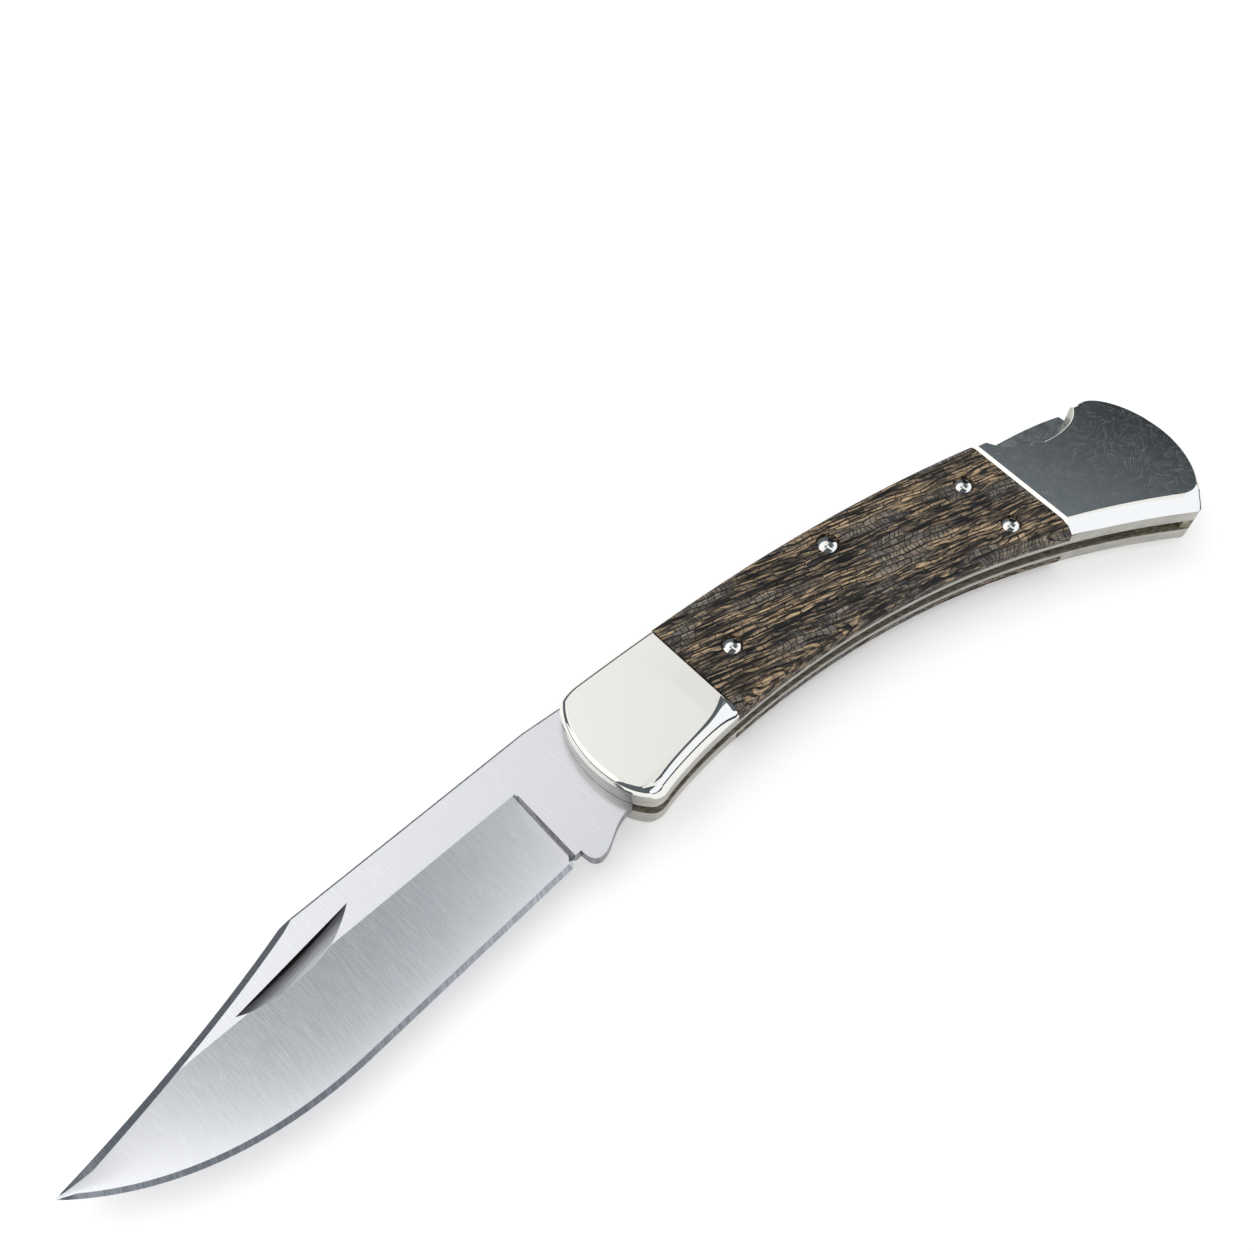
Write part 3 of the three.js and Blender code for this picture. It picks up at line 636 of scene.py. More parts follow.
def dark_wood(settings):
    """Old dark oak: tan chips along the grain, black pores and grey checked patches."""
    finish = Finish("Dark wood")
    turn = math.radians(17)
    sway = finish.noise(finish.place((45, 160, 160), turn))
    drift = finish.math("MULTIPLY", sway, 0.002)
    shift = finish.add("CombineXYZ", {"Y": drift, "Z": drift}).outputs["Vector"]
    grain = finish.vector("ADD", finish.place(turn=turn), shift)

    def grained(x, y, **values):
        """Noise with so many waves to the metre along and across the grain."""
        return finish.noise(finish.vector("MULTIPLY", grain, (x, y, y)), **values)

    ripple = grained(160, 420, output="Color")

    def chips(length, height, crack, sway):
        """Broken rows of chips in millimetres, as a value for each chip and the cracks."""
        inputs = {"Vector": grain, "Scale": (1000, 1000, 1000), "Rotation": (0.6, 0, 0)}
        millimetres = finish.add("Mapping", inputs, vector_type="POINT").outputs["Vector"]
        inputs = {
            "Vector": finish.vector("MULTIPLY_ADD", ripple, (*sway, 0), millimetres),
            "Scale": 1,
            "Color1": (0, 0, 0, 1),
            "Color2": (1, 1, 1, 1),
            "Mortar": (0, 0, 0, 1),
            "Mortar Size": crack,
            "Mortar Smooth": 0.5,
            "Brick Width": length,
            "Row Height": height,
        }
        rows = finish.add("TexBrick", inputs, offset=0.37, squash=0.6, squash_frequency=3).outputs
        shade = finish.add("SeparateColor", {"Color": rows["Color"]})
        return shade.outputs["Red"], rows["Fac"]

    bands = grained(25, 210, detail=3, roughness=0.6)
    streaks = grained(180, 2300, detail=3, roughness=0.6)
    fibres = grained(380, 6500, detail=4, roughness=0.65)
    chip, cracks = chips(3.0, 0.64, 0.124, (7, 2))
    small_chip, checks = chips(1.3, 0.95, 0.1, (3.4, 1.5))

    tan = finish.math(
        "ADD",
        finish.math("MULTIPLY", chip, 0.36),
        finish.span(streaks, 0.4, 0.6, 0.0, 0.5),
        finish.grit(bands, -0.14, 0.22),
        finish.grit(fibres, -0.1, 0.2),
    )
    wood = finish.ramp(
        tan,
        (0.12, (0.018, 0.017, 0.017)),
        (0.28, (0.062, 0.055, 0.05)),
        (0.44, (0.16, 0.125, 0.089)),
        (0.64, (0.33, 0.235, 0.14)),
        (0.92, (0.62, 0.44, 0.262)),
    )
    broken = finish.span(grained(330, 1300), 0.38, 0.52, 0.3, 1.0)
    solid = finish.math("SUBTRACT", 1.0, finish.math("MULTIPLY", cracks, broken))
    grooves = finish.span(grained(80, 1700), 0.38, 0.46, 0.1, 1.0)
    solid = finish.math("MULTIPLY", solid, grooves)
    checked = finish.span(grained(60, 170), 0.52, 0.6)
    grey = finish.span(small_chip, 0.0, 1.0, 0.1, 0.31)
    warmth = (("Red", 1.0), ("Green", 0.93), ("Blue", 0.84))
    channels = {name: finish.math("MULTIPLY", grey, share) for name, share in warmth}
    grey_wood = finish.add("CombineColor", channels).outputs["Color"]
    wood = finish.blend(finish.math("MULTIPLY", checked, 0.6), wood, grey_wood)
    solid = finish.math("MAXIMUM", solid, finish.math("MULTIPLY", checked, 0.8))
    check = finish.math("MULTIPLY", checks, checked)
    solid = finish.math("MULTIPLY", solid, finish.math("SUBTRACT", 1.0, check))
    pores = finish.math("MULTIPLY", finish.math("SUBTRACT", 1.0, solid), 0.92)
    relief = finish.math("ADD", finish.math("MULTIPLY", fibres, 0.4), solid)
    relief = finish.math("ADD", relief, finish.math("MULTIPLY", chip, 0.4))
    return finish.set(
        Base_Color=finish.blend(pores, wood, (0.008, 0.007, 0.0065, 1)),
        Roughness=finish.span(solid, 0.0, 1.0, 0.75, settings.wood_sheen),
        Specular_IOR_Level=0.35,
        Normal=finish.bump(relief, 0.0004),
    )


class KnifeSizes(PropertyGroup):
    spine_edge: FloatProperty(
        name="Spine Edge",
        description="Width of the rounded edge along the spine",
        default=0.001,
        unit="LENGTH",
    )
    front_edge: FloatProperty(
        name="Front Edge",
        description="Width of the rounded edge around the front bolster's nose",
        default=0.0011,
        unit="LENGTH",
    )
    guard_edge: FloatProperty(
        name="Guard Edge",
        description="Width of the rounded edge at the guard corner",
        default=0.0019,
        unit="LENGTH",
    )
    waist_edge: FloatProperty(
        name="Waist Edge",
        description="Width of the rounded edge at the waist",
        default=0.0021,
        unit="LENGTH",
    )
    joint_edge: FloatProperty(
        name="Joint Edge",
        description="Width of the front bolster's rounded edge where it meets the wood",
        default=0.0044,
        unit="LENGTH",
    )
    toe_edge: FloatProperty(
        name="Toe Edge",
        description="Width of the rounded edge at the toe of the butt",
        default=0.0028,
        unit="LENGTH",
    )
    butt_edge: FloatProperty(
        name="Butt Edge",
        description="Width of the rounded edge around the butt",
        default=0.0005,
        unit="LENGTH",
    )
    edge_height: FloatProperty(
        name="Edge Height",
        description="Height over which the outer edge is rounded",
        default=0.0023,
        unit="LENGTH",
    )
    wood_roll: FloatProperty(
        name="Wood Roll",
        description="Width of the wood's rounded belly edge halfway along",
        default=0.0052,
        unit="LENGTH",
    )
    joint_bevel: FloatProperty(
        name="Joint Bevel",
        description="Bevel of the rear bolster along the wood",
        default=0.0007,
        unit="LENGTH",
    )
    edge_bevel: FloatProperty(
        name="Edge Bevel",
        description="Width of the honed bevel along the cutting edge",
        default=0.0009,
        unit="LENGTH",
    )
    swedge: FloatProperty(
        name="Swedge",
        description="Width of the bevel along the clipped back",
        default=0.00135,
        unit="LENGTH",
    )
    hollow: FloatProperty(
        name="Hollow",
        description="Power of the hollow grind; 1 is flat",
        default=1.7,
        min=1,
        max=3,
    )
    buffing: FloatProperty(
        name="Buffing",
        description="Width that buffing takes off the sharp corners",
        default=0.00008,
        unit="LENGTH",
        precision=5,
    )


class KnifeFinishes(PropertyGroup):
    blade_colour: FloatVectorProperty(
        name="Blade",
        description="Colour of the blade steel",
        subtype="COLOR",
        default=(0.735, 0.746, 0.776),
    )
    edge_colour: FloatVectorProperty(
        name="Honed Edge",
        description="Colour of the honed cutting edge",
        subtype="COLOR",
        default=(0.64, 0.68, 0.74),
    )
    lock_colour: FloatVectorProperty(
        name="Lock Bar",
        description="Colour of the lock bar's steel",
        subtype="COLOR",
        default=(0.7, 0.71, 0.7),
    )
    nickel_colour: FloatVectorProperty(
        name="Nickel Silver",
        description="Colour of the bolsters, liners and pins",
        subtype="COLOR",
        default=(0.84, 0.83, 0.79),
    )
    # Darker than the nickel silver, as painted shade on the side walls
    shaded_wall_colour: FloatVectorProperty(
        name="Side Walls",
        description="Colour of the ground side walls of the bolsters and liners",
        subtype="COLOR",
        default=(0.46, 0.447, 0.41),
    )
    satin: FloatProperty(
        name="Satin",
        description="Roughness of the blade's satin finish",
        default=0.21,
        min=0.05,
        max=1,
    )
    polish: FloatProperty(
        name="Polish",
        description="Roughness of the polished nickel silver",
        default=0.05,
        min=0.02,
        max=1,
    )
    wood_sheen: FloatProperty(
        name="Wood Sheen",
        description="Roughness of the buffed wood",
        default=0.42,
        min=0.1,
        max=1,
    )


class KnifeStage(PropertyGroup):
    key_power: FloatProperty(
        name="Key Light",
        description="Power of the soft light over the spine",
        default=2.7,
        unit="POWER",
    )
    sky_strength: FloatProperty(
        name="Room Light",
        description="Strength of the even light from all round",
        default=0.64,
    )
    floor_colour: FloatVectorProperty(
        name="Floor",
        description="Colour of the floor",
        subtype="COLOR",
        default=(0.86, 0.86, 0.86),
    )


def made(name, maker):
    """The material of that name, made on first use."""
    return bpy.data.materials.get(name) or maker(bpy.context.scene.knife_finishes)


def edge_stretches(sizes, belly=None):
    """Curves of the outline with the widths of the rounded edge, and another one for the belly."""
    front = (sizes.spine_edge, sizes.front_edge, sizes.guard_edge, sizes.waist_edge)
    belly = belly or (sizes.waist_edge + sizes.toe_edge) / 2
    return handle_stretches(*front, sizes.joint_edge, belly, sizes.toe_edge, sizes.butt_edge)


def plate(name, top, stretches, height, foot, crest, steps=14):
    """Half of the handle above its liner; the bevel bulges between two tilts in degrees."""
    foot, crest = math.radians(foot), math.radians(crest)
    rings = [[(x, y, LINER_TOP) for x, y in HANDLE_OUTLINE]]
    for tilt in np.linspace(foot, crest, steps + 1):
        share = (math.sin(foot) - math.sin(tilt)) / (math.sin(foot) - math.sin(crest))
        rise = (math.cos(tilt) - math.cos(foot)) / (math.cos(crest) - math.cos(foot))
        ring = outline_ring(stretches, share)
        drop = 1 - rise
        rings.append([(x, y, top - drop * min(height, EDGE_STEEPNESS * w)) for x, y, w in ring])
    return skin(name, rings)


def thumb_notch(grow, bottom, top):
    """Rings of the cutter for the thumb's scoop over the lock bar; grow makes it larger."""
    hover = 0.0003
    start = (NOTCH_START - grow, spine_at(NOTCH_START) + hover)
    end = (NOTCH_END + grow * 0.3, spine_at(NOTCH_END) + hover)
    low = (NOTCH_BOTTOM[0], NOTCH_BOTTOM[1] - grow)
    front = bezier(start, low, (0.114, 0.59), (0.508, 0.99))
    back = bezier(low, end, (0.493, 0), (0.775, 0.26))
    points = [*along(front, np.linspace(0, 1, 49))[:-1], *along(back, np.linspace(0, 1, 33))]
    points += [(end[0], SPINE_FRONT[1]), (start[0], SPINE_FRONT[1])]
    return [[(x, y, z) for x, y in points] for z in (bottom, top)]


def disc(name, place, radius, bottom, top, steps=64):
    """Round slab about a place."""
    return slab(name, circle(place, radius, steps), bottom, top)


def grind_walls(piece, polished, inside=None, flat=None):
    """Gives a piece its finishes: polished edges, ground walls, inner face and flat top; the walls,
    and an inner slot face where one is given, carry painted shade.
    """
    walls = made("Ground nickel silver", ground_nickel)
    piece.data.materials.clear()
    for material in (polished, walls, inside or polished, flat or polished):
        piece.data.materials.append(material)
    for face in piece.data.polygons:
        slope = face.normal.z
        face.material_index = 3 if slope > 0.99 else 2 if slope < -0.9 else int(slope < 0.3)


class KNIFE_OT_bolsters(Operator):
    """Build the polished bolsters at both ends of the handle"""

    bl_idname = "knife.bolsters"
    bl_label = "Bolsters"

    def execute(self, context):
        sizes = context.scene.knife_sizes
        material = made("Nickel silver", nickel_silver)
        scuffed = made("Scuffed nickel silver", scuffed_nickel)
        stretches = edge_stretches(sizes)
        height = sizes.edge_height
        wall_tilt, front_tilt, rear_tilt = 58, 5, 26
        corner, notch_corner, hover = 0.0003, 0.00015, 0.00001

        front = plate("UpperFrontBolster", BOLSTER_TOP, stretches, height, wall_tilt, front_tilt)
        trim(front, (FRONT_JOINT, 0, 0), (1, 0, 0))
        trim(front, (FRONT_JOINT - corner, 0, BOLSTER_TOP), (1, 0, 1))

        rear = plate("UpperRearBolster", BOLSTER_TOP, stretches, height, wall_tilt, rear_tilt)
        out = Vector((-math.cos(REAR_LEAN), math.sin(REAR_LEAN), 0))
        trim(rear, (REAR_JOINT, 0, 0), out)
        bevel_place = Vector((REAR_JOINT, 0, BOLSTER_TOP)) - out * sizes.joint_bevel
        trim(rear, bevel_place, out + Vector((0, 0, 1)))
        carve(rear, skin("Notch", thumb_notch(0, UNDER, OVER)))
        rim = thumb_notch(0, BOLSTER_TOP - notch_corner, BOLSTER_TOP)
        rim[1] = thumb_notch(notch_corner, 0, BOLSTER_TOP + hover)[1]
        carve(rear, skin("NotchRim", rim))

        ease_edges(front, sizes.buffing, 25)
        ease_edges(rear, 2 * sizes.buffing, 35)
        for piece, node in ((front, "front_bolster"), (rear, "rear_bolster")):
            smooth(piece, 9)
            grind_walls(piece, material, flat=None if piece == front else scuffed)
            fit_pair(piece, node, material)
        return {"FINISHED"}


class KNIFE_OT_scales(Operator):
    """Build the dark wooden scales with their rounded belly edge"""

    bl_idname = "knife.scales"
    bl_label = "Wooden Scales"

    def execute(self, context):
        sizes = context.scene.knife_sizes
        material = made("Dark wood", dark_wood)
        stretches = edge_stretches(sizes, sizes.wood_roll)
        scale = plate("UpperScale", SCALE_TOP, stretches, sizes.edge_height, 90, 0)
        gap, hole_depth, buffing = 0.00014, 0.001, 0.00006
        trim(scale, (FRONT_JOINT + gap, 0, 0), (-1, 0, 0))
        out = Vector((math.cos(REAR_LEAN), -math.sin(REAR_LEAN), 0))
        trim(scale, (REAR_JOINT - gap, 0, 0), out)
        for place, radius in PINS.values():
            carve(scale, disc("Hole", place, radius + gap, SCALE_TOP - hole_depth, OVER))
        smooth(scale, 12)
        ease_edges(scale, buffing)
        fit_pair(scale, "scale", material)
        return {"FINISHED"}


class KNIFE_OT_liners(Operator):
    """Build the liners and the spacer that closes the butt"""

    bl_idname = "knife.liners"
    bl_label = "Liners and Spacer"

    def execute(self, context):
        sizes = context.scene.knife_sizes
        material = made("Nickel silver", nickel_silver)
        shaded_slot_face = made("Slot face", slot_face)
        liner = slab("UpperLiner", HANDLE_OUTLINE, SLOT_TOP, LINER_TOP)
        carve(liner, skin("Notch", thumb_notch(0, UNDER, OVER)))
        smooth(liner, 12)
        ease_edges(liner, sizes.buffing)
        grind_walls(liner, material, shaded_slot_face)
        fit_pair(liner, "liner", material)

        bottom, top = (corner.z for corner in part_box("butt_spacer"))
        past, beyond = 0.001, 0.005
        swing = math.hypot(*TIP) + 0.001
        root_bottom, root_top = HORN[1] - 0.0136, HORN[1] - 0.0073
        root_end, bar_end = BAR_END + 0.0003, BAR_END + 0.0006
        start, end = (math.asin(y / swing) for y in (TOE[1] - beyond, root_bottom))
        region = arc((0, 0), swing, start, end, 60)
        region += [(root_end, root_bottom), (root_end, root_top)]
        region += [(bar_end, root_top), (bar_end, SPINE_FRONT[1])]
        region += [(BUTT[0] + beyond, SPINE_FRONT[1]), (BUTT[0] + beyond, TOE[1] - beyond)]
        spacer = slab("ButtSpacer", HANDLE_OUTLINE, bottom, top)
        carve(spacer, slab("Region", region, bottom - past, top + past), operation="INTERSECT")
        # Corners of the recess, from the toe back along the belly
        mouth = [(-0.06, -0.005), (0.004, -0.005), (0.004, 0.0003)]
        mouth += [(-0.0022, 0.0003), (-0.0022, 0.0015), (-0.06, 0.0015)]
        recess = slab("Recess", mouth, bottom - past, top + past)
        for part in (spacer, recess):
            part.data.materials.append(material)
            part.data.materials.append(shaded_slot_face)
        # The recess's faces take the slot face, with its painted shade and reflection
        for face in recess.data.polygons:
            face.material_index = 1
        arrival = BELLY[3] - BELLY[2]
        turn = Matrix.Rotation(math.atan2(arrival[1], arrival[0]), 4, "Z")
        recess.data.transform(Matrix.Translation((*TOE, 0)) @ turn)
        carve(spacer, recess)
        smooth(spacer, 12)
        ease_edges(spacer, sizes.buffing / 2)
        fit(spacer, "butt_spacer", material)
        return {"FINISHED"}


def blade_section(x, ground, edge, sizes):
    """One cross-section of the blade; ground runs from 0 on the flat to 1 in the hollow."""
    back = back_at(x)
    height = back - edge
    half, keen, taper = (BLADE_TOP - BLADE_BOTTOM) / 2, 0.00002, 0.6
    clipped = min(1, max(0, (CLIP_START[0] - x + SWEDGE_START) / SWEDGE_START))
    back_width = SPINE_CHAMFER + (sizes.swedge - SPINE_CHAMFER) * clipped
    flat_back = half - CHAMFER_DROP
    back_half = flat_back + (SWEDGE_THICKNESS / 2 - flat_back) * clipped
    shoulder = back - min(back_width, height / 4)
    bevel = edge + min(sizes.edge_bevel, height / 3)
    line = min(GRIND_LINE, shoulder - height / 50)

    def hollow(y):
        rise = min(1, max(0, (y - bevel) / (GRIND_LINE - bevel)))
        return EDGE_THICKNESS / 2 + (half - EDGE_THICKNESS / 2) * rise**sizes.hollow

    levels = np.linspace(bevel, line, 27)
    side = [(y, hollow(y)) for y in levels]
    side += [(y, hollow(y)) for y in np.linspace(line, shoulder, 5)[1:]]
    side += [(back, min(back_half, hollow(shoulder) * (1 - taper * clipped)))]
    side = [(edge, keen), *side]
    flat = [half] * (len(side) - 1) + [back_half]
    side = [(y, z * ground + w * (1 - ground)) for (y, z), w in zip(side, flat)]
    upper = [(x, y, MIDDLE + z) for y, z in side]
    lower = [(x, y, MIDDLE - z) for y, z in reversed(side)]
    return upper + lower


def ground_blade(sizes):
    """The ground part of the blade, from the plunge line to the tip."""
    rings = []
    for share in np.linspace(0, 1, 7):
        x = CHOIL[0] - PLUNGE_LENGTH * share
        ground = math.sin(share * math.pi / 2)
        rings.append(blade_section(x, ground, CHOIL[1], sizes))
    rings.append(blade_section(HEEL[0], 1, HEEL[1], sizes))
    swedge_front = CLIP_START[0] + SWEDGE_START
    places = list(np.linspace(HEEL[0], swedge_front, 61)[1:])
    places += list(np.linspace(swedge_front, CLIP_START[0], 9)[1:])
    places += [TIP[0] + (CLIP_START[0] - TIP[0]) * s**1.3 for s in np.linspace(1, 0, 131)[1:-1]]
    end = TIP[0] + 0.0003
    places = [x for x in places if x > end] + [end]
    rings += [blade_section(x, 1, edge_at(x), sizes) for x in places]
    return skin("Blade", rings)


def tang_outline():
    """Ricasso, kick and tang behind the plunge line."""
    radius, shoulder = 0.0075, 0.0022
    run_out, shoulder_front = math.radians(-122), -0.012
    kick = (-0.0164, -0.0105)
    kick_front = (kick[0] - 0.0019, CHOIL[1])
    kick_end = (-0.0074, -radius)
    points = [(CHOIL[0], back_at(CHOIL[0])), CHOIL]
    rise = np.array([kick_front, (kick_front[0], kick[1]), kick])
    points += list(along(rise, np.linspace(0, 1, 17)))
    fall = np.array([kick, (kick[0] + 0.0025, kick[1]), (-0.0119, -radius), kick_end])
    points += list(along(fall, np.linspace(0, 1, 41))[1:])
    points += arc((0, 0), radius, run_out, math.acos(shoulder / radius), 70)
    points.append((shoulder, spine_at(shoulder)))
    points.append((shoulder_front, back_at(shoulder_front)))
    return points


def tang_block():
    """Tang and ricasso, with the chamfer of the blade's back carried on to the handle."""
    outline = tang_outline()
    eased = list(outline)
    for k in (0, -1, -2):
        x, y = outline[k]
        eased[k] = (x, y - SPINE_CHAMFER)
    levels = (
        (eased, BLADE_BOTTOM),
        (outline, BLADE_BOTTOM + CHAMFER_DROP),
        (outline, BLADE_TOP - CHAMFER_DROP),
        (eased, BLADE_TOP),
    )
    return skin("Tang", [[(x, y, z) for x, y in points] for points, z in levels])


def nail_nick():
    """Crescent groove for the thumbnail, as a leaning wheel cuts it."""
    length, width, depth = 0.022, 0.0036, 0.0007
    lean = math.atan2(depth, width)
    wheel = (length / 2) ** 2 / (2 * depth)
    reach = math.asin(length / wheel)
    rim = arc((0, wheel - depth), wheel, -math.pi / 2 - reach, -math.pi / 2 + reach, 161)
    place = Vector((*NICK_START, BLADE_TOP))
    place += Vector((math.cos(NICK_SLOPE), math.sin(NICK_SLOPE), 0)) * length / 2
    turn = Matrix.Rotation(NICK_SLOPE, 4, "Z") @ Matrix.Rotation(math.pi / 2 - lean, 4, "X")
    cutter = slab("Nick", rim, 0, 2 * width)
    cutter.data.transform(Matrix.Translation(place) @ turn)
    return cutter


class KNIFE_OT_blade(Operator):
    """Build the hollow-ground clip-point blade with its nail nick"""

    bl_idname = "knife.blade"
    bl_label = "Blade"

    def execute(self, context):
        sizes = context.scene.knife_sizes
        blade = ground_blade(sizes)
        steel = made("Blade steel", blade_steel)
        honed = made("Honed edge", honed_steel)
        cut = made("Nick steel", nick_steel)
        sides = made("Shaded side steel", shaded_side_steel)
        nick = nail_nick()
        tang = tang_block()
        for part in (blade, nick, tang):
            for material in (steel, honed, cut, sides):
                part.data.materials.append(material)
        for face in nick.data.polygons:
            face.material_index = 2
        for face in blade.data.polygons:
            low = min(blade.data.vertices[v].co.y for v in face.vertices)
            x = face.center.x
            if x < HEEL[0] and face.center.y < edge_at(x) + sizes.edge_bevel and low < edge_at(x):
                face.material_index = 1
            # Sloping faces of the plunge take the side steel and its painted shade
            elif x > CHOIL[0] - PLUNGE_LENGTH and face.center.y < GRIND_LINE:
                face.material_index = 3 if abs(face.normal.z) < 0.995 else 0
        carve(blade, nick)
        # Upright tang walls on the belly side, away from the key light, take the side steel and its
        # painted shade
        for face in tang.data.polygons:
            face.material_index = 3 if abs(face.normal.z) < 0.1 and face.center.y < 0 else 0
        carve(blade, tang, operation="UNION")
        smooth(blade, 3.5)
        fit(blade, "blade", steel, body="blade")
        return {"FINISHED"}


def bar_outline():
    """Side view of the lock bar, from its lug to the thumb hump."""
    lug_front, lug_rear, lug_radius, lug_depth = 0.0025, 0.0072, 0.0078, 0.0036
    lug_bottom = math.sqrt(lug_radius**2 - lug_front**2)
    chamfer, arm_depth = 0.0005, 0.0049
    xs = np.linspace(lug_front, NOTCH_START, 180)
    points = list(zip(xs, spine_at(xs)))
    rise = 0.0015
    hump_xs = np.linspace(NOTCH_START, BAR_END, 4)
    hump_rises = np.array([0, 0.55, 1.3, 1]) * rise
    hump = np.stack((hump_xs, spine_at(hump_xs) + hump_rises), axis=1)
    points += list(along(hump, np.linspace(0, 1, 60))[1:])
    rocker, boss = PINS["rocker_pin"][0], 0.0037
    under = [
        (BAR_END, 0.0042),
        (BAR_END - 0.0097, 0.0072),
        (NOTCH_START + 0.0058, 0.0061),
        (NOTCH_START + 0.0029, 0.00495),
        (NOTCH_START, 0.0028),
        (rocker[0] + 0.0163, 0.0028),
        (rocker[0] + 0.0143, 0.0042),
        (rocker[0] + 0.007, 0.0042),
    ]
    points += [(x, spine_at(x) - depth) for x, depth in under]
    points += arc(rocker, boss, math.radians(-8), math.radians(-178), 40)
    points += [(x, spine_at(x) - arm_depth) for x in np.linspace(rocker[0] - boss, 0.02, 20)]
    points += [
        (lug_rear, spine_at(lug_rear) - lug_depth),
        (lug_rear, lug_bottom + chamfer),
        (lug_rear - chamfer, lug_bottom),
        (lug_front + chamfer, lug_bottom),
        (lug_front, lug_bottom + chamfer),
    ]
    return points


class KNIFE_OT_lockbar(Operator):
    """Build the lock bar with its thumb hump, and finish the spring"""

    bl_idname = "knife.lockbar"
    bl_label = "Lock Bar and Spring"

    def execute(self, context):
        sizes = context.scene.knife_sizes
        bar = slab("LockBar", bar_outline(), BLADE_BOTTOM, BLADE_TOP)
        smooth(bar, 14)
        ease_edges(bar, sizes.buffing)
        steel = made("Lock steel", bar_steel)
        fit(bar, "lockbar", steel, body="lockbar")
        finishes = context.scene.knife_finishes
        coat("lock_spring", bar_steel(finishes, "Spring steel", (0.44, 0.46, 0.48), 0.35))
        coat("pivot_pin", steel)
        return {"FINISHED"}


class KNIFE_OT_pins(Operator):
    """Build the domed pins and rivets, and finish the hidden ones"""

    bl_idname = "knife.pins"
    bl_label = "Pins and Rivets"

    def execute(self, context):
        material = made("Nickel silver", nickel_silver)
        rise = 0.0007
        for node, (place, radius) in PINS.items():
            through = node in ("rocker_pin", "spring_pin")
            name = "".join(word.capitalize() for word in node.split("_"))
            bottom = MIDDLE if through else SLOT_TOP
            ball = (radius**2 + rise**2) / (2 * rise)
            levels = [(radius, bottom)]
            for share in np.linspace(1, 0, 15)[:-1]:
                reach = radius * share
                levels.append((reach, BOLSTER_TOP - ball + math.sqrt(ball**2 - reach**2)))
            rings = [[(x, y, z) for x, y in circle(place, reach, 72)] for reach, z in levels]
            if through:
                mirrored = [[(x, y, 2 * MIDDLE - z) for x, y, z in ring] for ring in rings[1:]]
                rings = mirrored[::-1] + rings[1:]
            pin = skin(name if through else "Upper" + name, rings)
            smooth(pin, 30)
            if through:
                fit(pin, node, material)
            else:
                fit_pair(pin, node, material)
        for node in ("upper_bolster_rivet", "lower_bolster_rivet", "spring_root_pin", "spacer_pin"):
            coat(node, material)
        return {"FINISHED"}


# Rays that see the background as white
RAYS = ("Is Camera Ray", "Is Glossy Ray", "Is Transmission Ray")


def direction(azimuth, elevation):
    """Unit vector towards a place on the sky, azimuth from +X towards +Y."""
    a, e = math.radians(azimuth), math.radians(elevation)
    return Vector((math.cos(e) * math.cos(a), math.cos(e) * math.sin(a), math.sin(e)))


def card(name, azimuths, elevations, glow, colour=(1, 1, 1), distance=2.0):
    """Bowed board that only shows as a reflection, between two azimuths and two elevations.

    Its glow runs from corner to corner: low start, low end, high start, high end.
    """
    columns, rows = 16, 8
    points, glows = [], []
    for rise in np.linspace(0, 1, rows):
        for share in np.linspace(0, 1, columns):
            azimuth = azimuths[0] + (azimuths[1] - azimuths[0]) * share
            elevation = elevations[0] + (elevations[1] - elevations[0]) * rise
            points.append(direction(azimuth, elevation) * distance)
            low = glow[0] + (glow[1] - glow[0]) * share
            high = glow[2] + (glow[3] - glow[2]) * share
            glows.append(low + (high - low) * rise)
    faces = [
        (i + j * columns, i + 1 + j * columns, i + 1 + (j + 1) * columns, i + (j + 1) * columns)
        for j in range(rows - 1)
        for i in range(columns - 1)
    ]
    mesh = bpy.data.meshes.new(name)
    mesh.from_pydata(points, [], faces)
    mesh.attributes.new("Glow", "FLOAT", "POINT").data.foreach_set("value", glows)
    board = new_piece(name, mesh)
    finish = Finish(name)
    finish.tree.nodes.remove(finish.shader)
    level = finish.add("Attribute", attribute_name="Glow").outputs["Fac"]
    emission = finish.add("Emission", {"Color": (*colour, 1), "Strength": level})
    finish.surface(emission.outputs["Emission"])
    mesh.materials.append(finish.material)
    board.visible_camera = False
    board.visible_diffuse = False
    board.visible_shadow = False


def floor_material(settings):
    """Pale floor that keeps shadows and glows a little for the camera and in metal."""
    finish = Finish("Floor")
    grain = finish.noise(finish.place(), scale=900)
    finish.set(
        Base_Color=(*settings.floor_colour, 1),
        Roughness=0.9,
        Specular_IOR_Level=0.1,
        Normal=finish.bump(grain, 0.00002, 0.2),
    )
    path = finish.add("LightPath").outputs
    seen = finish.math("ADD", *(path[ray] for ray in RAYS), clamp=True)
    away = finish.add("VectorMath", {0: finish.place()}, operation="LENGTH").outputs["Value"]
    lift = finish.span(away, 0.4, 2.0, 0.3, 0.45)
    glow = finish.add("Emission", {"Strength": finish.math("MULTIPLY", seen, lift)})
    lights = {0: finish.shader.outputs["BSDF"], 1: glow.outputs["Emission"]}
    finish.surface(finish.add("AddShader", lights).outputs["Shader"])
    return finish.material


def room(settings):
    """Even light from all round, behind which the camera and the metal see white."""
    world = bpy.data.worlds.new("Room")
    world.use_nodes = True
    tree = world.node_tree
    path = tree.nodes.new("ShaderNodeLightPath")
    strength = settings.sky_strength
    for ray in RAYS:
        lighter = tree.nodes.new("ShaderNodeMath")
        lighter.operation = "MULTIPLY_ADD"
        tree.links.new(path.outputs[ray], lighter.inputs[0])
        lighter.inputs[1].default_value = 1 - settings.sky_strength
        if ray == RAYS[0]:
            lighter.inputs[2].default_value = strength
        else:
            tree.links.new(strength, lighter.inputs[2])
        strength = lighter.outputs["Value"]
    background = tree.nodes["Background"]
    background.inputs["Color"].default_value = (1, 1, 1, 1)
    tree.links.new(strength, background.inputs["Strength"])
    return world


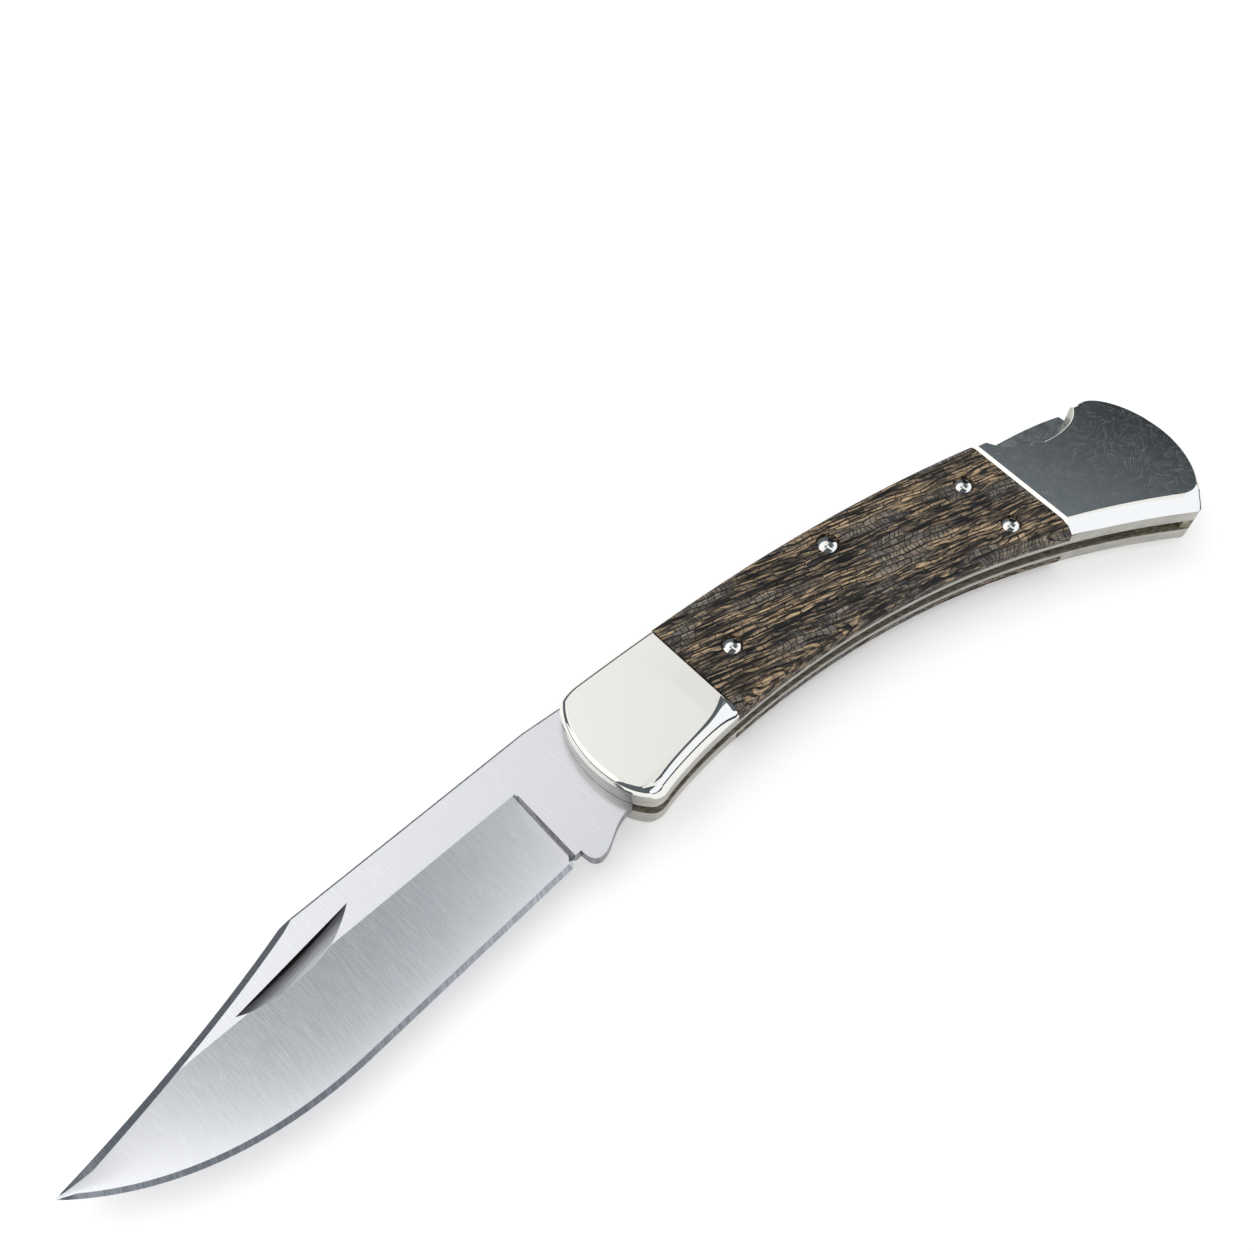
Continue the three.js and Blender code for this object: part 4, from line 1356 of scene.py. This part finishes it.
class KNIFE_OT_stage(Operator):
    """Lay the knife on a pale floor under soft light, and set the camera"""

    bl_idname = "knife.stage"
    bl_label = "Floor, Light and Camera"

    def execute(self, context):
        scene = context.scene
        settings = scene.knife_stage
        floor_mesh = bpy.data.meshes.new("Floor")
        size = 4.0
        corners = [(-size, -size, 0), (size, -size, 0), (size, size, 0), (-size, size, 0)]
        floor_mesh.from_pydata(corners, [], [(0, 1, 2, 3)])
        floor = new_piece("Floor", floor_mesh)
        floor_mesh.materials.append(floor_material(settings))

        scene.world = room(settings)

        lamp = bpy.data.lights.new("Key", "AREA")
        lamp.shape = "RECTANGLE"
        lamp.size, lamp.size_y = 0.9, 0.9
        lamp.energy = settings.key_power
        key = bpy.data.objects.new("Key", lamp)
        key.visible_glossy = False
        facing, distance = direction(95, 70), 0.8
        turn = facing.to_track_quat("Z", "Y").to_matrix().to_4x4()
        key.matrix_world = Matrix.Translation(facing * distance) @ turn
        scene.collection.objects.link(key)

        slate = (0.76, 0.88, 1)
        card("OverheadCard", (34, 150), (44, 74), (0.92, 1.45, 0.92, 1.45))
        card("FillCard", (22, 34), (53, 74), (0.9,) * 4)
        card("CeilingCard", (20, 140), (74, 89), (0.58, 0.52, 0.1, 0.02), (0.94, 0.98, 1.03))
        card("TipCard", (140, 205), (74, 89), (0.9, 1.9, 0.4, 1.4))
        card("NoseCard", (128, 200), (9, 53), (1.25,) * 4)
        card("LowCard", (-98, 1), (8, 50), (1.16,) * 4, (0.93, 0.96, 1.03), 1.95)
        card("GuardCard", (-178, -98), (8, 50), (0.16,) * 4, slate, 1.9)
        card("RearCard", (-175, -70), (50, 86), (0.13,) * 4, slate, 1.9)
        card("SideCard", (-25, 34), (41, 53), (0.045, 0.045, 0.38, 0.38), slate, 1.9)
        card("BandCard", (-42, 22), (52, 72), (0.14,) * 4, slate, 1.9)
        card("CornerCard", (2, 34), (-1, 41), (0.02,) * 4, slate, 1.9)
        card("FarCard", (34, 128), (-1, 44), (0.12, 0.12, 0.2, 0.2), slate, 1.9)
        card("HorizonCard", (-180, 180), (-1, 8), (0.08,) * 4, slate, 1.85)

        lens = bpy.data.cameras.new("Camera")
        lens.sensor_width = 36
        lens.lens = 34.57
        lens.clip_start = 0.005
        camera = bpy.data.objects.new("Camera", lens)
        look = Vector((0.3616, 0.3874, -0.8480)).normalized()
        right = Vector((0.7310, -0.6824, 0)).normalized()
        up = right.cross(look)
        turn = Matrix((right, up, -look)).transposed().to_4x4()
        camera.matrix_world = Matrix.Translation((-0.06046, -0.06313, 0.183475)) @ turn
        scene.collection.objects.link(camera)
        scene.camera = camera
        scene.view_settings.view_transform = "Standard"
        return {"FINISHED"}


class KNIFE_PT_build(Panel):
    bl_label = "Folding Knife"
    bl_space_type = "VIEW_3D"
    bl_region_type = "UI"
    bl_category = "Knife"

    def draw(self, context):
        layout = self.layout
        for group in GROUPS:
            box = layout.box()
            settings = getattr(context.scene, group)
            for name in settings.__annotations__:
                box.prop(settings, name)
        for step in STEPS:
            layout.operator(step.bl_idname)


STEPS = (
    KNIFE_OT_blade,
    KNIFE_OT_lockbar,
    KNIFE_OT_liners,
    KNIFE_OT_bolsters,
    KNIFE_OT_scales,
    KNIFE_OT_pins,
    KNIFE_OT_stage,
)
GROUPS = {"knife_sizes": KnifeSizes, "knife_finishes": KnifeFinishes, "knife_stage": KnifeStage}
CLASSES = (*GROUPS.values(), *STEPS, KNIFE_PT_build)


def register():
    for cls in CLASSES:
        bpy.utils.register_class(cls)
    for name, group in GROUPS.items():
        setattr(bpy.types.Scene, name, PointerProperty(type=group))


def unregister():
    for name in GROUPS:
        delattr(bpy.types.Scene, name)
    for cls in reversed(CLASSES):
        bpy.utils.unregister_class(cls)


def main():
    """Builds the whole knife."""
    register()
    bpy.ops.knife.blade()
    bpy.ops.knife.lockbar()
    bpy.ops.knife.liners()
    bpy.ops.knife.bolsters()
    bpy.ops.knife.scales()
    bpy.ops.knife.pins()
    bpy.ops.knife.stage()


if __name__ == "__main__":
    main()
